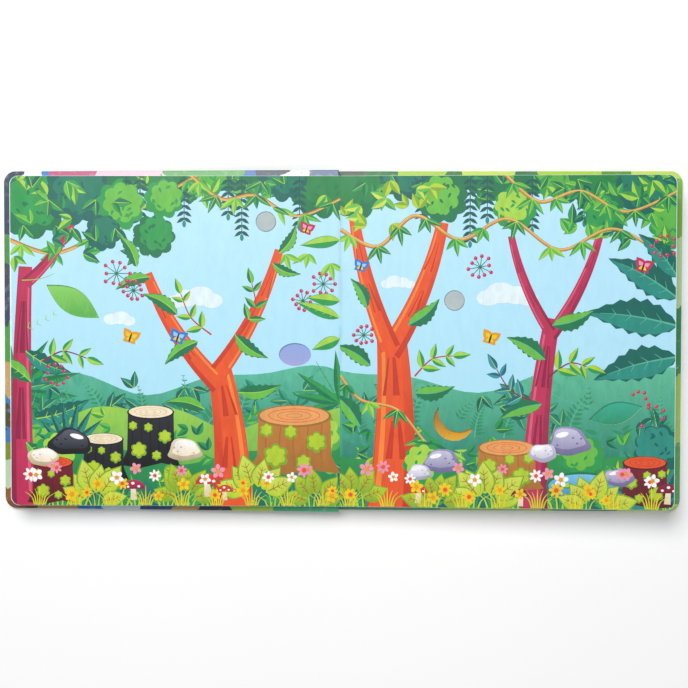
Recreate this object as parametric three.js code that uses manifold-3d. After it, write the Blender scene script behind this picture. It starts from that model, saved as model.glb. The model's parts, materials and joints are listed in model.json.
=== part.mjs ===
// A children's board book with sounds, lying open at its middle pages.
// Millimetres. X runs to the reader's right, Y to the head of the pages, Z up.
// The fold between the open pages is on X = 0 before the whole book is centred.
// Each half is drawn outwards from the fold, and the left half is then mirrored.
import * as THREE from "three";
import { mergeVertices } from "three/addons/utils/BufferGeometryUtils.js";
import Module from "manifold-3d";

const wasm = await Module();
wasm.setup();

// Pages
const PAGE_WIDTH = 195;
const PAGE_HEIGHT = 195;
const PAGE_CORNER = 5;
const LEAF_THICKNESS = 1.3;
const LEAVES_PER_HALF = 4;
const LEAF_ROOT = 9;
const RIGHT_FAN_DEG = 2.64;
const LEFT_OUTER_RISE_DEG = 0.3;

// Case
const BOARD_THICKNESS = 2.4;
const COVER_WIDTH = 203.2;
const COVER_HEIGHT = 203;
const COVER_CORNER = 7;
const COVER_EDGE_ROUND = 0.5;
const JOINT_GROOVE_INSET = 9;
const JOINT_GROOVE_WIDTH = 3.2;
const JOINT_GROOVE_DEPTH = 0.5;
const SPINE_CLEARANCE = 0.9;
const MITRE_GAP = 0.15;
const GUTTER_GAP = 0.3;
const GUTTER_RELIEF = 0.8;
const GLUE_GAP = 0.05;
const FIT_GAP = 0.06;

// Foam block round the sound module
const SPACER_THICKNESS = 9.4;
const POCKET_GAP = 0.3;
const RIBBON_GROOVE_DEPTH = 1.8;

// Press pads under the pages
const PAD_DIAMETER = 11.4;
const PAD_THICKNESS = 0.37;
const PAD_RECESS = 0.1;
const PAD_HOLE_DIAMETER = 12;
const PAD_POCKET_DEPTH = 1.15;
const DOME_DIAMETER = 8;
const DOME_HEIGHT = 0.2;
const FOIL_THICKNESS = 0.1;
const FOIL_DIAMETER = 11;
const TAIL_WIDTH = 6;
const TAIL_CHANNEL_GAP = 0.5;
const LEFT_PAD = { out: 43.8, up: 70.6 };
const RIGHT_PAD = { out: 67.1, up: 24.4 };

// Peep holes through the top leaves
const LEAF_HOLE_LEFT = { out: PAGE_WIDTH - 37, up: 23.5, length: 37, width: 15, turn: -32 };
const OVAL_HOLE = { out: 26.6, up: -7.6, length: 19, width: 13.6, turn: 0 };
const CRESCENT_HOLE = { out: 65, up: -50, radius: 12, shift: 6, turn: -28 };
const LEAF_HOLE_RIGHT = { out: PAGE_WIDTH - 34, up: -41, length: 32, width: 13, turn: 14 };

// Sound module, placed from its own centre
const MODULE_CENTRE = { x: 101.6, y: 0 };
const MODULE_LENGTH = 98;
const MODULE_WIDTH = 58;
const MODULE_WALL = 1.2;
const MODULE_CORNER = 4;
const MODULE_FLANGE = 4;
const GRILLE_HOLE = 1.8;
const GRILLE_RING_PITCH = 3.3;
const GRILLE_RINGS = 3;
const SPEAKER = { endGap: 4.5, y: 0, diameter: 29, height: 5, cone: 25 };
const BATTERY_BAY = { endGap: 9, y: -14, length: 44, width: 13.4 };
const CELL_DIAMETER = 11.6;
const CELL_HEIGHT = 5.4;
const CELL_COUNT = 3;
const CELL_PITCH = 12.2;
const DOOR_THICKNESS = 1;
const DOOR_SCREW = { head: 4.2, shank: 2, length: 5 };
const SWITCH = { along: 16, across: 0.5, length: 9, width: 4.4, travel: 3, knobLength: 3, knobWidth: 2.6 };
const BOARD = { bossGap: 1.4, y: 12.5, length: 48, width: 22, thickness: 1, floor: 5.6 };
const POST_DIAMETER = 4;
const CHIP_DIAMETER = 8;
const LID_SCREW = { head: 3.6, shank: 1.8, length: 4.4, inset: 5.2, boss: 4.8 };
const RIBBON = { y: 13, width: 9, thickness: 0.2, busBottom: 8, busTop: 77 };
const SPEAKER_X = -MODULE_LENGTH / 2 + SPEAKER.endGap + SPEAKER.diameter / 2;
const BAY_X = MODULE_LENGTH / 2 - BATTERY_BAY.endGap - BATTERY_BAY.length / 2;
const BOSS_EDGE = MODULE_LENGTH / 2 - LID_SCREW.inset - LID_SCREW.boss / 2;
const BOARD_X = BOSS_EDGE - BOARD.bossGap - BOARD.length / 2;
const SWITCH_X = BOARD_X + SWITCH.along;
const SWITCH_Y = BOARD.y + SWITCH.across;

// Printed fields on the open pages
const PRINT_THICKNESS = 0.08;
const PRINT_STEP = 0.1;
const PRINT_EDGE = 0.6;
const PRINT_GUTTER = 1.2;
const PRINT_CEILING = 0.5;

const DEG = Math.PI / 180;
const STACK_THICKNESS = LEAF_THICKNESS * LEAVES_PER_HALF;
const FOLD_HEIGHT = BOARD_THICKNESS + SPACER_THICKNESS + STACK_THICKNESS;
const LEFT_DEPTH = STACK_THICKNESS + GLUE_GAP + BOARD_THICKNESS;
const SPINE_WIDTH = FOLD_HEIGHT + LEFT_DEPTH + PRINT_CEILING;
const HINGE_X = -(SPINE_CLEARANCE + BOARD_THICKNESS);

// The left half leans on its outer lower edge, which touches the table.
const LEFT_REACH = Math.hypot(COVER_WIDTH, LEFT_DEPTH);
const LEFT_TILT = Math.asin(FOLD_HEIGHT / LEFT_REACH) - Math.atan2(LEFT_DEPTH, COVER_WIDTH);
const LEFT_FAN = LEFT_TILT + LEFT_OUTER_RISE_DEG * DEG;
const RIGHT_FAN = RIGHT_FAN_DEG * DEG;

const FINISHES = {
  coverPrint: { color: 0x4f9f5a, roughness: 0.35, metalness: 0 },
  spinePrint: { color: 0x3f7f8f, roughness: 0.35, metalness: 0 },
  foam: { color: 0xe9e6dd, roughness: 0.9, metalness: 0 },
  skyPage: { color: 0xbae7fb, roughness: 0.4, metalness: 0 },
  hillPrint: { color: 0x237a66, roughness: 0.4, metalness: 0 },
  meadowPrint: { color: 0x58b44e, roughness: 0.4, metalness: 0 },
  orangePrint: { color: 0xe8552f, roughness: 0.4, metalness: 0 },
  magentaPrint: { color: 0xb8365a, roughness: 0.4, metalness: 0 },
  canopyPrint: { color: 0x3ba55b, roughness: 0.4, metalness: 0 },
  bushPrint: { color: 0x1f8a78, roughness: 0.4, metalness: 0 },
  padFilm: { color: 0xbcc8ca, roughness: 0.45, metalness: 0 },
  foilFilm: { color: 0xc9b26a, roughness: 0.35, metalness: 0.3 },
  steel: { color: 0xc8ccd0, roughness: 0.3, metalness: 1 },
  whitePlastic: { color: 0xe6e8ea, roughness: 0.45, metalness: 0 },
  blackPlastic: { color: 0x202225, roughness: 0.5, metalness: 0 },
  circuitGreen: { color: 0x1f6b3a, roughness: 0.4, metalness: 0 },
  epoxy: { color: 0x15161a, roughness: 0.25, metalness: 0 },
  coneFilm: { color: 0xd8dadc, roughness: 0.2, metalness: 0 },
};

// Solids and joins

function toSolid(geometry) {
  const bare = geometry.clone();
  bare.deleteAttribute("normal");
  bare.deleteAttribute("uv");
  const merged = mergeVertices(bare, 1e-4);
  const vertProperties = new Float32Array(merged.attributes.position.array);
  const triVerts = new Uint32Array(merged.index.array);
  return new wasm.Manifold(new wasm.Mesh({ numProp: 3, vertProperties, triVerts }));
}

function toGeometry(solid) {
  const mesh = solid.getMesh();
  const geometry = new THREE.BufferGeometry();
  geometry.setAttribute("position", new THREE.BufferAttribute(new Float32Array(mesh.vertProperties), 3));
  geometry.setIndex(new THREE.BufferAttribute(new Uint32Array(mesh.triVerts), 1));
  geometry.computeVertexNormals();
  return geometry;
}

function join(geometries) {
  const solids = geometries.map(toSolid);
  return toGeometry(solids.reduce((whole, next) => whole.add(next)));
}

function cut(geometry, cutters) {
  const solids = cutters.map(toSolid);
  return toGeometry(solids.reduce((whole, next) => whole.subtract(next), toSolid(geometry)));
}

function common(geometry, other) {
  return toGeometry(toSolid(geometry).intersect(toSolid(other)));
}

function mirrored(geometry) {
  const copy = mergeVertices(geometry.clone().deleteAttribute("normal"), 1e-5);
  copy.scale(-1, 1, 1);
  const index = copy.index.array;
  for (let i = 0; i < index.length; i += 3) {
    const swap = index[i];
    index[i] = index[i + 1];
    index[i + 1] = swap;
  }
  copy.computeVertexNormals();
  return copy;
}

// Outlines

function polygon(points) {
  return new THREE.Shape(points.map(([x, y]) => new THREE.Vector2(x, y)));
}

function roundedRect(x0, y0, x1, y1, innerRadius, outerRadius) {
  const shape = new THREE.Shape();
  shape.moveTo(x0 + innerRadius, y0);
  shape.lineTo(x1 - outerRadius, y0);
  shape.absarc(x1 - outerRadius, y0 + outerRadius, outerRadius, -Math.PI / 2, 0);
  shape.lineTo(x1, y1 - outerRadius);
  shape.absarc(x1 - outerRadius, y1 - outerRadius, outerRadius, 0, Math.PI / 2);
  shape.lineTo(x0 + innerRadius, y1);
  if (innerRadius > 0) {
    shape.absarc(x0 + innerRadius, y1 - innerRadius, innerRadius, Math.PI / 2, Math.PI);
    shape.lineTo(x0, y0 + innerRadius);
    shape.absarc(x0 + innerRadius, y0 + innerRadius, innerRadius, Math.PI, 1.5 * Math.PI);
  } else {
    shape.lineTo(x0, y1);
  }
  return shape;
}

function box(x0, x1, y0, y1, z0, z1) {
  const solid = new THREE.BoxGeometry(x1 - x0, y1 - y0, z1 - z0);
  solid.translate((x0 + x1) / 2, (y0 + y1) / 2, (z0 + z1) / 2);
  return solid;
}

// A disc is a lathe of its half section, so a stepped section makes a stepped disc.
function turned(section, x, y, z, segments) {
  const points = section.map(([radius, height]) => new THREE.Vector2(radius, height));
  const solid = new THREE.LatheGeometry(points, segments);
  solid.rotateX(Math.PI / 2);
  solid.translate(x, y, z);
  return solid;
}

function disc(x, y, diameter, z0, z1, segments = 24) {
  return turned([[0, 0], [diameter / 2, 0], [diameter / 2, z1 - z0], [0, z1 - z0]], x, y, z0, segments);
}

function prism(shape, z0, z1, curveSegments = 5) {
  const solid = new THREE.ExtrudeGeometry(shape, { depth: z1 - z0, bevelEnabled: false, curveSegments });
  solid.translate(0, 0, z0);
  return solid;
}

// The section is drawn in X and Z and runs from y0 to y1.
function sideProfile(points, y0, y1) {
  const solid = new THREE.ExtrudeGeometry(polygon(points), { depth: y1 - y0, bevelEnabled: false });
  solid.rotateX(Math.PI / 2);
  solid.translate(0, y1, 0);
  return solid;
}

function placedShape(points, spot) {
  const turn = spot.turn * DEG;
  return polygon(points.map(([x, y]) => [
    spot.out + x * Math.cos(turn) - y * Math.sin(turn),
    spot.up + x * Math.sin(turn) + y * Math.cos(turn),
  ]));
}

function leafOutline(spot, steps = 9) {
  const points = [];
  for (let i = 0; i < steps; i++) {
    const along = i / steps;
    points.push([(along - 0.5) * spot.length, 0.5 * spot.width * Math.sin(Math.PI * along)]);
  }
  for (let i = 0; i < steps; i++) {
    const along = 1 - i / steps;
    points.push([(along - 0.5) * spot.length, -0.5 * spot.width * Math.sin(Math.PI * along)]);
  }
  return placedShape(points, spot);
}

function ovalOutline(spot, steps = 24) {
  const points = [];
  for (let i = 0; i < steps; i++) {
    const turn = (2 * Math.PI * i) / steps;
    points.push([0.5 * spot.length * Math.cos(turn), 0.5 * spot.width * Math.sin(turn)]);
  }
  return placedShape(points, spot);
}

// Two equal arcs, one shifted up from the other, meet at the crescent's tips.
function crescentOutline(spot, steps = 10) {
  const lift = Math.asin(spot.shift / 2 / spot.radius);
  const middle = (spot.shift / 2 - spot.radius) / 2;
  const points = [];
  for (let i = 0; i <= steps; i++) {
    const turn = -Math.PI / 2 + (Math.PI / 2 + lift) * ((2 * i) / steps - 1);
    points.push([spot.radius * Math.cos(turn), spot.radius * Math.sin(turn) - middle]);
  }
  for (let i = 1; i < steps; i++) {
    const turn = -Math.PI / 2 + (Math.PI / 2 - lift) * (1 - (2 * i) / steps);
    points.push([spot.radius * Math.cos(turn), spot.radius * Math.sin(turn) + spot.shift - middle]);
  }
  return placedShape(points, spot);
}

// Case boards

function coverBoard(innerEdge, corner) {
  const shape = roundedRect(innerEdge, -COVER_HEIGHT / 2, COVER_WIDTH, COVER_HEIGHT / 2, 0, corner);
  const solid = new THREE.ExtrudeGeometry(shape, {
    depth: BOARD_THICKNESS - 2 * COVER_EDGE_ROUND,
    bevelEnabled: true,
    bevelThickness: COVER_EDGE_ROUND,
    bevelSize: COVER_EDGE_ROUND,
    bevelOffset: -COVER_EDGE_ROUND,
    bevelSegments: 2,
    curveSegments: 6,
  });
  solid.translate(0, 0, COVER_EDGE_ROUND);
  return solid;
}

function jointGroove() {
  const x0 = JOINT_GROOVE_INSET;
  const x1 = JOINT_GROOVE_INSET + JOINT_GROOVE_WIDTH;
  const section = [
    [x0, -1],
    [x1, -1],
    [x1, 0],
    [(x0 + x1) / 2, JOINT_GROOVE_DEPTH],
    [x0, 0],
  ];
  return sideProfile(section, -COVER_HEIGHT, COVER_HEIGHT);
}

// The mitre closes on the spine board when the spine stands upright.
function mitreCutter(x, side) {
  const far = x - side * 3 * BOARD_THICKNESS;
  const points = [
    [x, -1],
    [x, 0],
    [x + side * BOARD_THICKNESS, BOARD_THICKNESS],
    [x + side * BOARD_THICKNESS, BOARD_THICKNESS + 1],
    [far, BOARD_THICKNESS + 1],
    [far, -1],
  ];
  if (side < 0) points.reverse();
  return sideProfile(points, -COVER_HEIGHT, COVER_HEIGHT);
}

function backCover() {
  const moduleWindow = roundedRect(
    MODULE_CENTRE.x - MODULE_LENGTH / 2 + MODULE_FLANGE,
    MODULE_CENTRE.y - MODULE_WIDTH / 2 + MODULE_FLANGE,
    MODULE_CENTRE.x + MODULE_LENGTH / 2 - MODULE_FLANGE,
    MODULE_CENTRE.y + MODULE_WIDTH / 2 - MODULE_FLANGE,
    MODULE_CORNER,
    MODULE_CORNER,
  );
  return cut(coverBoard(HINGE_X + MITRE_GAP - COVER_EDGE_ROUND, COVER_CORNER), [
    prism(moduleWindow, -1, BOARD_THICKNESS + 1),
    jointGroove(),
    mitreCutter(HINGE_X + MITRE_GAP, 1),
  ]);
}

function frontCover() {
  const solid = cut(coverBoard(GUTTER_GAP + GUTTER_RELIEF + 0.2, COVER_CORNER), [jointGroove()]);
  solid.translate(0, 0, -LEFT_DEPTH);
  return solid;
}

function spineBoard() {
  const nearEdge = HINGE_X - MITRE_GAP;
  const farEdge = nearEdge - SPINE_WIDTH;
  const section = [
    [nearEdge, 0],
    [nearEdge - BOARD_THICKNESS, BOARD_THICKNESS],
    [farEdge + COVER_EDGE_ROUND, BOARD_THICKNESS],
    [farEdge, BOARD_THICKNESS - COVER_EDGE_ROUND],
    [farEdge, COVER_EDGE_ROUND],
    [farEdge + COVER_EDGE_ROUND, 0],
  ];
  return sideProfile(section, -COVER_HEIGHT / 2, COVER_HEIGHT / 2);
}

// Page stacks

function leafSlope(leaf, fan) {
  return Math.tan((fan * leaf) / (LEAVES_PER_HALF - 1));
}

// One comb: the leaves join at the fold and spread like a fan towards their outer edges.
function fanSection(fan) {
  const points = [[GUTTER_GAP + GUTTER_RELIEF, 0]];
  for (let leaf = 0; leaf < LEAVES_PER_HALF; leaf++) {
    const slope = leafSlope(leaf, fan);
    const under = LEAF_THICKNESS * leaf;
    const over = under + LEAF_THICKNESS;
    points.push([PAGE_WIDTH, under + slope * PAGE_WIDTH]);
    points.push([PAGE_WIDTH, over + slope * PAGE_WIDTH]);
    if (leaf < LEAVES_PER_HALF - 1) {
      const middle = (slope + leafSlope(leaf + 1, fan)) / 2;
      points.push([LEAF_ROOT, over + middle * LEAF_ROOT]);
    }
  }
  points.push([GUTTER_GAP, STACK_THICKNESS + leafSlope(LEAVES_PER_HALF - 1, fan) * GUTTER_GAP]);
  return points;
}

function leafFrame(fan) {
  const matrix = new THREE.Matrix4().makeRotationY(-fan);
  matrix.setPosition(0, 0, STACK_THICKNESS);
  return matrix;
}

function padHole(pad) {
  return disc(pad.out, pad.up, PAD_HOLE_DIAMETER, -PAD_POCKET_DEPTH, 2, 32);
}

function tailChannel(pad) {
  const half = (TAIL_WIDTH + TAIL_CHANNEL_GAP) / 2;
  const floor = -PAD_POCKET_DEPTH;
  return box(-2, pad.out, pad.up - half, pad.up + half, floor, floor + FOIL_THICKNESS + 3 * FIT_GAP);
}

function peepHoles(outlines) {
  return outlines.map((outline) => prism(outline, -LEAF_THICKNESS - 0.12, 2));
}

function pageStack(fan, pad, holes) {
  const page = roundedRect(0, -PAGE_HEIGHT / 2, PAGE_WIDTH, PAGE_HEIGHT / 2, 0, PAGE_CORNER);
  const leaves = sideProfile(fanSection(fan), -PAGE_HEIGHT / 2, PAGE_HEIGHT / 2);
  const trimmed = common(leaves, prism(page, -1, FOLD_HEIGHT + PAGE_WIDTH * Math.tan(fan)));
  const cutters = [padHole(pad), tailChannel(pad), ...peepHoles(holes)];
  return cut(trimmed, cutters.map((cutter) => cutter.applyMatrix4(leafFrame(fan))));
}

// Press pads and the films below them, drawn in the frame of the top leaf

function pressPad(pad) {
  const round = 0.12;
  const radius = PAD_DIAMETER / 2;
  const section = [
    [0, 0],
    [radius, 0],
    [radius, PAD_THICKNESS - round],
    [radius - 2 * round, PAD_THICKNESS],
    [0, PAD_THICKNESS],
  ];
  return turned(section, pad.out, pad.up, -PAD_RECESS - PAD_THICKNESS, 32);
}

function touchFoil(pad) {
  const z0 = -PAD_POCKET_DEPTH + FIT_GAP;
  const tail = box(
    GUTTER_GAP + 0.2,
    pad.out,
    pad.up - TAIL_WIDTH / 2,
    pad.up + TAIL_WIDTH / 2,
    z0,
    z0 + FOIL_THICKNESS,
  );
  return join([disc(pad.out, pad.up, FOIL_DIAMETER, z0, z0 + FOIL_THICKNESS), tail]);
}

function snapDome(pad) {
  const z0 = -PAD_POCKET_DEPTH + FIT_GAP + FOIL_THICKNESS + 0.02;
  const radius = DOME_DIAMETER / 2;
  const wall = 0.08;
  const section = [
    [radius - 0.6, 0],
    [radius, 0],
    [radius * 0.6, DOME_HEIGHT * 0.75],
    [0, DOME_HEIGHT],
    [0, DOME_HEIGHT - wall],
    [radius * 0.6 - 0.3, DOME_HEIGHT * 0.75 - wall],
    [radius - 0.6, 0],
  ];
  return turned(section, pad.out, pad.up, z0, 16);
}

// Foam block and the ribbon that comes down the spine into the module

function spacerBlock() {
  const floor = BOARD_THICKNESS;
  const roof = floor + SPACER_THICKNESS;
  const outline = roundedRect(GUTTER_GAP, -PAGE_HEIGHT / 2, PAGE_WIDTH, PAGE_HEIGHT / 2, 0, PAGE_CORNER);
  const pocket = roundedRect(
    MODULE_CENTRE.x - MODULE_LENGTH / 2 - POCKET_GAP,
    MODULE_CENTRE.y - MODULE_WIDTH / 2 - POCKET_GAP,
    MODULE_CENTRE.x + MODULE_LENGTH / 2 + POCKET_GAP,
    MODULE_CENTRE.y + MODULE_WIDTH / 2 + POCKET_GAP,
    MODULE_CORNER,
    MODULE_CORNER,
  );
  const half = RIBBON.width / 2 + POCKET_GAP;
  const groove = box(
    -2,
    MODULE_CENTRE.x,
    RIBBON.y - half,
    RIBBON.y + half,
    roof - RIBBON_GROOVE_DEPTH,
    roof + 1,
  );
  return cut(prism(outline, floor, roof), [prism(pocket, floor - 1, roof + 1), groove]);
}

function ribbonCable() {
  const roof = BOARD_THICKNESS + SPACER_THICKNESS;
  const level = roof - RIBBON_GROOVE_DEPTH + FIT_GAP;
  const busX = -0.1;
  const boardEdge = MODULE_CENTRE.x + BOARD_X - BOARD.length / 2;
  const landing = BOARD_THICKNESS + BOARD.floor + BOARD.thickness + FIT_GAP;
  const wall = MODULE_CENTRE.x - MODULE_LENGTH / 2;
  const t = RIBBON.thickness;
  const tongue = [
    [busX, level],
    [wall + 4, level],
    [boardEdge - 6, landing],
    [boardEdge + 4, landing],
    [boardEdge + 4, landing + t],
    [boardEdge - 6, landing + t],
    [wall + 4, level + t],
    [busX, level + t],
  ];
  const bus = box(busX - t, busX, RIBBON.busBottom, RIBBON.busTop, level, FOLD_HEIGHT - 1);
  const near = RIBBON.y - RIBBON.width / 2;
  const far = RIBBON.y + RIBBON.width / 2;
  const neck = box(busX - t, busX + 0.01, near, far, level, level + t);
  return join([bus, neck, sideProfile(tongue, near, far)]);
}

// Sound module, drawn about its own centre with its face at the bottom

function grilleHoles() {
  const holes = [disc(SPEAKER_X, SPEAKER.y, GRILLE_HOLE, -1, MODULE_WALL + 1, 6)];
  for (let ring = 1; ring <= GRILLE_RINGS; ring++) {
    for (let i = 0; i < 6 * ring; i++) {
      const turn = (2 * Math.PI * i) / (6 * ring);
      const x = SPEAKER_X + ring * GRILLE_RING_PITCH * Math.cos(turn);
      const y = SPEAKER.y + ring * GRILLE_RING_PITCH * Math.sin(turn);
      holes.push(disc(x, y, GRILLE_HOLE, -1, MODULE_WALL + 1, 6));
    }
  }
  return holes;
}

function ring(x, y, outer, inner, z0, z1, segments = 24) {
  const r = inner / 2;
  const R = outer / 2;
  const section = [[r, 0], [R, 0], [R, z1 - z0], [r, z1 - z0], [r, 0]];
  return turned(section, x, y, z0, segments);
}

function lidScrewSpots() {
  const x = MODULE_LENGTH / 2 - LID_SCREW.inset;
  const y = MODULE_WIDTH / 2 - LID_SCREW.inset;
  return [[-x, -y], [x, -y], [x, y], [-x, y]];
}

function doorScrewSpot() {
  return { x: BAY_X + BATTERY_BAY.length / 2 - 2.9, y: BATTERY_BAY.y };
}

function housingOutline(inset) {
  const radius = Math.max(MODULE_CORNER - inset, 1);
  return roundedRect(
    -MODULE_LENGTH / 2 + inset,
    -MODULE_WIDTH / 2 + inset,
    MODULE_LENGTH / 2 - inset,
    MODULE_WIDTH / 2 - inset,
    radius,
    radius,
  );
}

function bayBox(grow, z0, z1) {
  const x = BATTERY_BAY.length / 2 + grow;
  const y = BATTERY_BAY.width / 2 + grow;
  return box(BAY_X - x, BAY_X + x, BATTERY_BAY.y - y, BATTERY_BAY.y + y, z0, z1);
}

function moduleHousing() {
  const rim = SPACER_THICKNESS - MODULE_WALL;
  const screw = doorScrewSpot();
  const bayRoof = DOOR_THICKNESS + CELL_HEIGHT + 1;
  const screwBlock = box(screw.x - 3, screw.x + 3.5, screw.y - 4, screw.y + 4, DOOR_THICKNESS + 0.1, bayRoof);
  const shell = cut(prism(housingOutline(0), 0, rim), [
    prism(housingOutline(MODULE_WALL), MODULE_WALL, rim + 1),
  ]);
  const posts = [-1, 1].flatMap((side) => [-1, 1].map((end) => {
    const x = BOARD_X + end * (BOARD.length / 2 - 3);
    const y = BOARD.y + side * (BOARD.width / 2 - 3);
    return disc(x, y, POST_DIAMETER, MODULE_WALL / 2, BOARD.floor - FIT_GAP, 10);
  }));
  const bosses = lidScrewSpots().map(([x, y]) => (
    ring(x, y, LID_SCREW.boss, LID_SCREW.shank + 0.2, MODULE_WALL / 2, rim, 12)
  ));
  const seatBore = SPEAKER.diameter + 0.6;
  const seat = ring(SPEAKER_X, SPEAKER.y, seatBore + 2 * MODULE_WALL, seatBore, MODULE_WALL / 2, 4, 28);
  const bay = cut(bayBox(1, MODULE_WALL / 2, rim - FIT_GAP), [bayBox(0, -1, bayRoof)]);
  const whole = join([shell, ...posts, ...bosses, seat, bay, screwBlock]);
  const slot = SWITCH.knobLength + SWITCH.travel + 0.8;
  const ribbonSlot = box(
    -MODULE_LENGTH / 2 - 1,
    -MODULE_LENGTH / 2 + MODULE_WALL + 1,
    RIBBON.y - RIBBON.width / 2 - POCKET_GAP - MODULE_CENTRE.y,
    RIBBON.y + RIBBON.width / 2 + POCKET_GAP - MODULE_CENTRE.y,
    rim - 1.6,
    rim + 1,
  );
  return cut(whole, [
    ...grilleHoles(),
    bayBox(0, -1, MODULE_WALL + 0.05),
    disc(screw.x, screw.y, DOOR_SCREW.shank + 0.2, 0, bayRoof + 2, 12),
    box(
      SWITCH_X - slot / 2,
      SWITCH_X + slot / 2,
      SWITCH_Y - SWITCH.knobWidth / 2 - 0.3,
      SWITCH_Y + SWITCH.knobWidth / 2 + 0.3,
      -1,
      MODULE_WALL + 1,
    ),
    ribbonSlot,
  ]);
}

function moduleLid() {
  const rim = SPACER_THICKNESS - MODULE_WALL;
  const holes = lidScrewSpots().flatMap(([x, y]) => [
    disc(x, y, LID_SCREW.shank + 0.2, rim - 1, SPACER_THICKNESS + 1, 12),
    disc(x, y, LID_SCREW.head + 0.3, SPACER_THICKNESS - 0.7, SPACER_THICKNESS + 1, 16),
  ]);
  return cut(prism(housingOutline(0), rim, SPACER_THICKNESS), holes);
}

function screwSolid(x, y, headAt, direction, screw, headHeight) {
  const radius = screw.head / 2;
  const section = [
    [0, 0],
    [radius, 0],
    [radius, headHeight],
    [screw.shank / 2, headHeight],
    [screw.shank / 2, screw.length],
    [0, screw.length + 0.5],
  ];
  const solid = turned(section, 0, 0, 0, 12);
  const slotDepth = headHeight * 0.6;
  const driven = cut(solid, [
    box(-radius * 0.6, radius * 0.6, -0.3, 0.3, -1, slotDepth),
    box(-0.3, 0.3, -radius * 0.6, radius * 0.6, -1, slotDepth),
  ]);
  if (direction < 0) driven.rotateX(Math.PI);
  driven.translate(x, y, headAt);
  return driven;
}

function batteryDoor() {
  const gap = 0.25;
  const screw = doorScrewSpot();
  return cut(bayBox(-gap, 0, DOOR_THICKNESS), [
    disc(screw.x, screw.y, DOOR_SCREW.shank + 0.4, -1, DOOR_THICKNESS + 1, 12),
    disc(screw.x, screw.y, DOOR_SCREW.head + 0.4, -1, 0.6, 20),
  ]);
}

function cellSpot(cell) {
  const first = BAY_X - BATTERY_BAY.length / 2 + CELL_DIAMETER / 2 + 0.9;
  return { x: first + cell * CELL_PITCH, y: BATTERY_BAY.y };
}

function buttonCell(cell) {
  const spot = cellSpot(cell);
  const radius = CELL_DIAMETER / 2;
  const section = [
    [0, 0],
    [radius - 0.8, 0],
    [radius - 0.8, 0.35],
    [radius, 0.6],
    [radius, CELL_HEIGHT],
    [0, CELL_HEIGHT],
  ];
  return turned(section, spot.x, spot.y, DOOR_THICKNESS + 0.45, 24);
}

function contactStrap(fromCell, toCell, z0) {
  const a = cellSpot(fromCell);
  const b = cellSpot(toCell);
  return box(a.x - 2, b.x + 2, a.y - 2, a.y + 2, z0, z0 + 0.3);
}

function endContact(side) {
  const spot = cellSpot(side < 0 ? 0 : CELL_COUNT - 1);
  const y = spot.y;
  const roof = DOOR_THICKNESS + CELL_HEIGHT + 1;
  const z = side < 0 ? roof - 0.4 : DOOR_THICKNESS + 0.06;
  return box(spot.x - 3, spot.x + 3, y - 2, y + 2, z, z + 0.3);
}

function circuitBoard() {
  const x0 = BOARD_X - BOARD.length / 2;
  const y0 = BOARD.y - BOARD.width / 2;
  const outline = roundedRect(x0, y0, x0 + BOARD.length, y0 + BOARD.width, 0.8, 0.8);
  return prism(outline, BOARD.floor, BOARD.floor + BOARD.thickness, 2);
}

function soundChip() {
  const radius = CHIP_DIAMETER / 2;
  const height = 1.1;
  const section = [
    [0, 0],
    [radius, 0],
    [radius * 0.92, height * 0.45],
    [radius * 0.6, height * 0.85],
    [0, height],
  ];
  return turned(section, BOARD_X + 8, BOARD.y, BOARD.floor + BOARD.thickness, 20);
}

function speakerFrame() {
  const radius = SPEAKER.diameter / 2;
  const section = [
    [radius - 2, 0.9],
    [radius - 1.4, 0],
    [radius, 0],
    [radius, 1.6],
    [radius * 0.62, 2.6],
    [radius * 0.62, SPEAKER.height],
    [0, SPEAKER.height],
    [0, 2.2],
    [radius * 0.5, 2.2],
    [radius - 2, 0.9],
  ];
  return turned(section, SPEAKER_X, SPEAKER.y, MODULE_WALL + 0.1, 24);
}

function speakerCone() {
  const rim = SPEAKER.cone / 2;
  const section = [
    [0, 0.35],
    [3.6, 0.62],
    [4.4, 0.35],
    [rim - 1.6, 0.12],
    [rim - 0.6, 0.4],
    [rim - 0.1, 0.4],
    [rim - 0.1, 0.6],
    [rim - 1.2, 0.6],
    [rim - 1.8, 0.34],
    [4.6, 0.6],
    [3.6, 0.9],
    [0, 0.62],
  ];
  return turned(section, SPEAKER_X, SPEAKER.y, MODULE_WALL + 0.1, 24);
}

function switchFrame() {
  const x = SWITCH.length / 2;
  const y = SWITCH.width / 2;
  const z0 = MODULE_WALL + 1.9;
  const shell = box(SWITCH_X - x, SWITCH_X + x, SWITCH_Y - y, SWITCH_Y + y, z0, BOARD.floor - FIT_GAP);
  const inside = box(
    SWITCH_X - x + 0.4,
    SWITCH_X + x - 0.4,
    SWITCH_Y - SWITCH.knobWidth / 2 - 0.2,
    SWITCH_Y + SWITCH.knobWidth / 2 + 0.2,
    z0 - 1,
    BOARD.floor - 0.5,
  );
  return cut(shell, [inside]);
}

function switchSlider() {
  const start = SWITCH_X - SWITCH.travel / 2;
  const knob = box(
    start - SWITCH.knobLength / 2,
    start + SWITCH.knobLength / 2,
    SWITCH_Y - SWITCH.knobWidth / 2,
    SWITCH_Y + SWITCH.knobWidth / 2,
    -0.9,
    BOARD.floor - 0.7,
  );
  const ridges = [-0.9, 0, 0.9].map((offset) => box(
    start + offset - 0.2,
    start + offset + 0.2,
    SWITCH_Y - SWITCH.knobWidth,
    SWITCH_Y + SWITCH.knobWidth,
    -1.5,
    -0.7,
  ));
  return cut(knob, ridges);
}

// Printed fields, drawn in the frame of the top leaf

function printSlab(shapes, level) {
  const z0 = 0.03 + level * PRINT_STEP;
  return join(shapes.map((shape) => prism(shape, z0, z0 + PRINT_THICKNESS, 6)));
}

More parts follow.
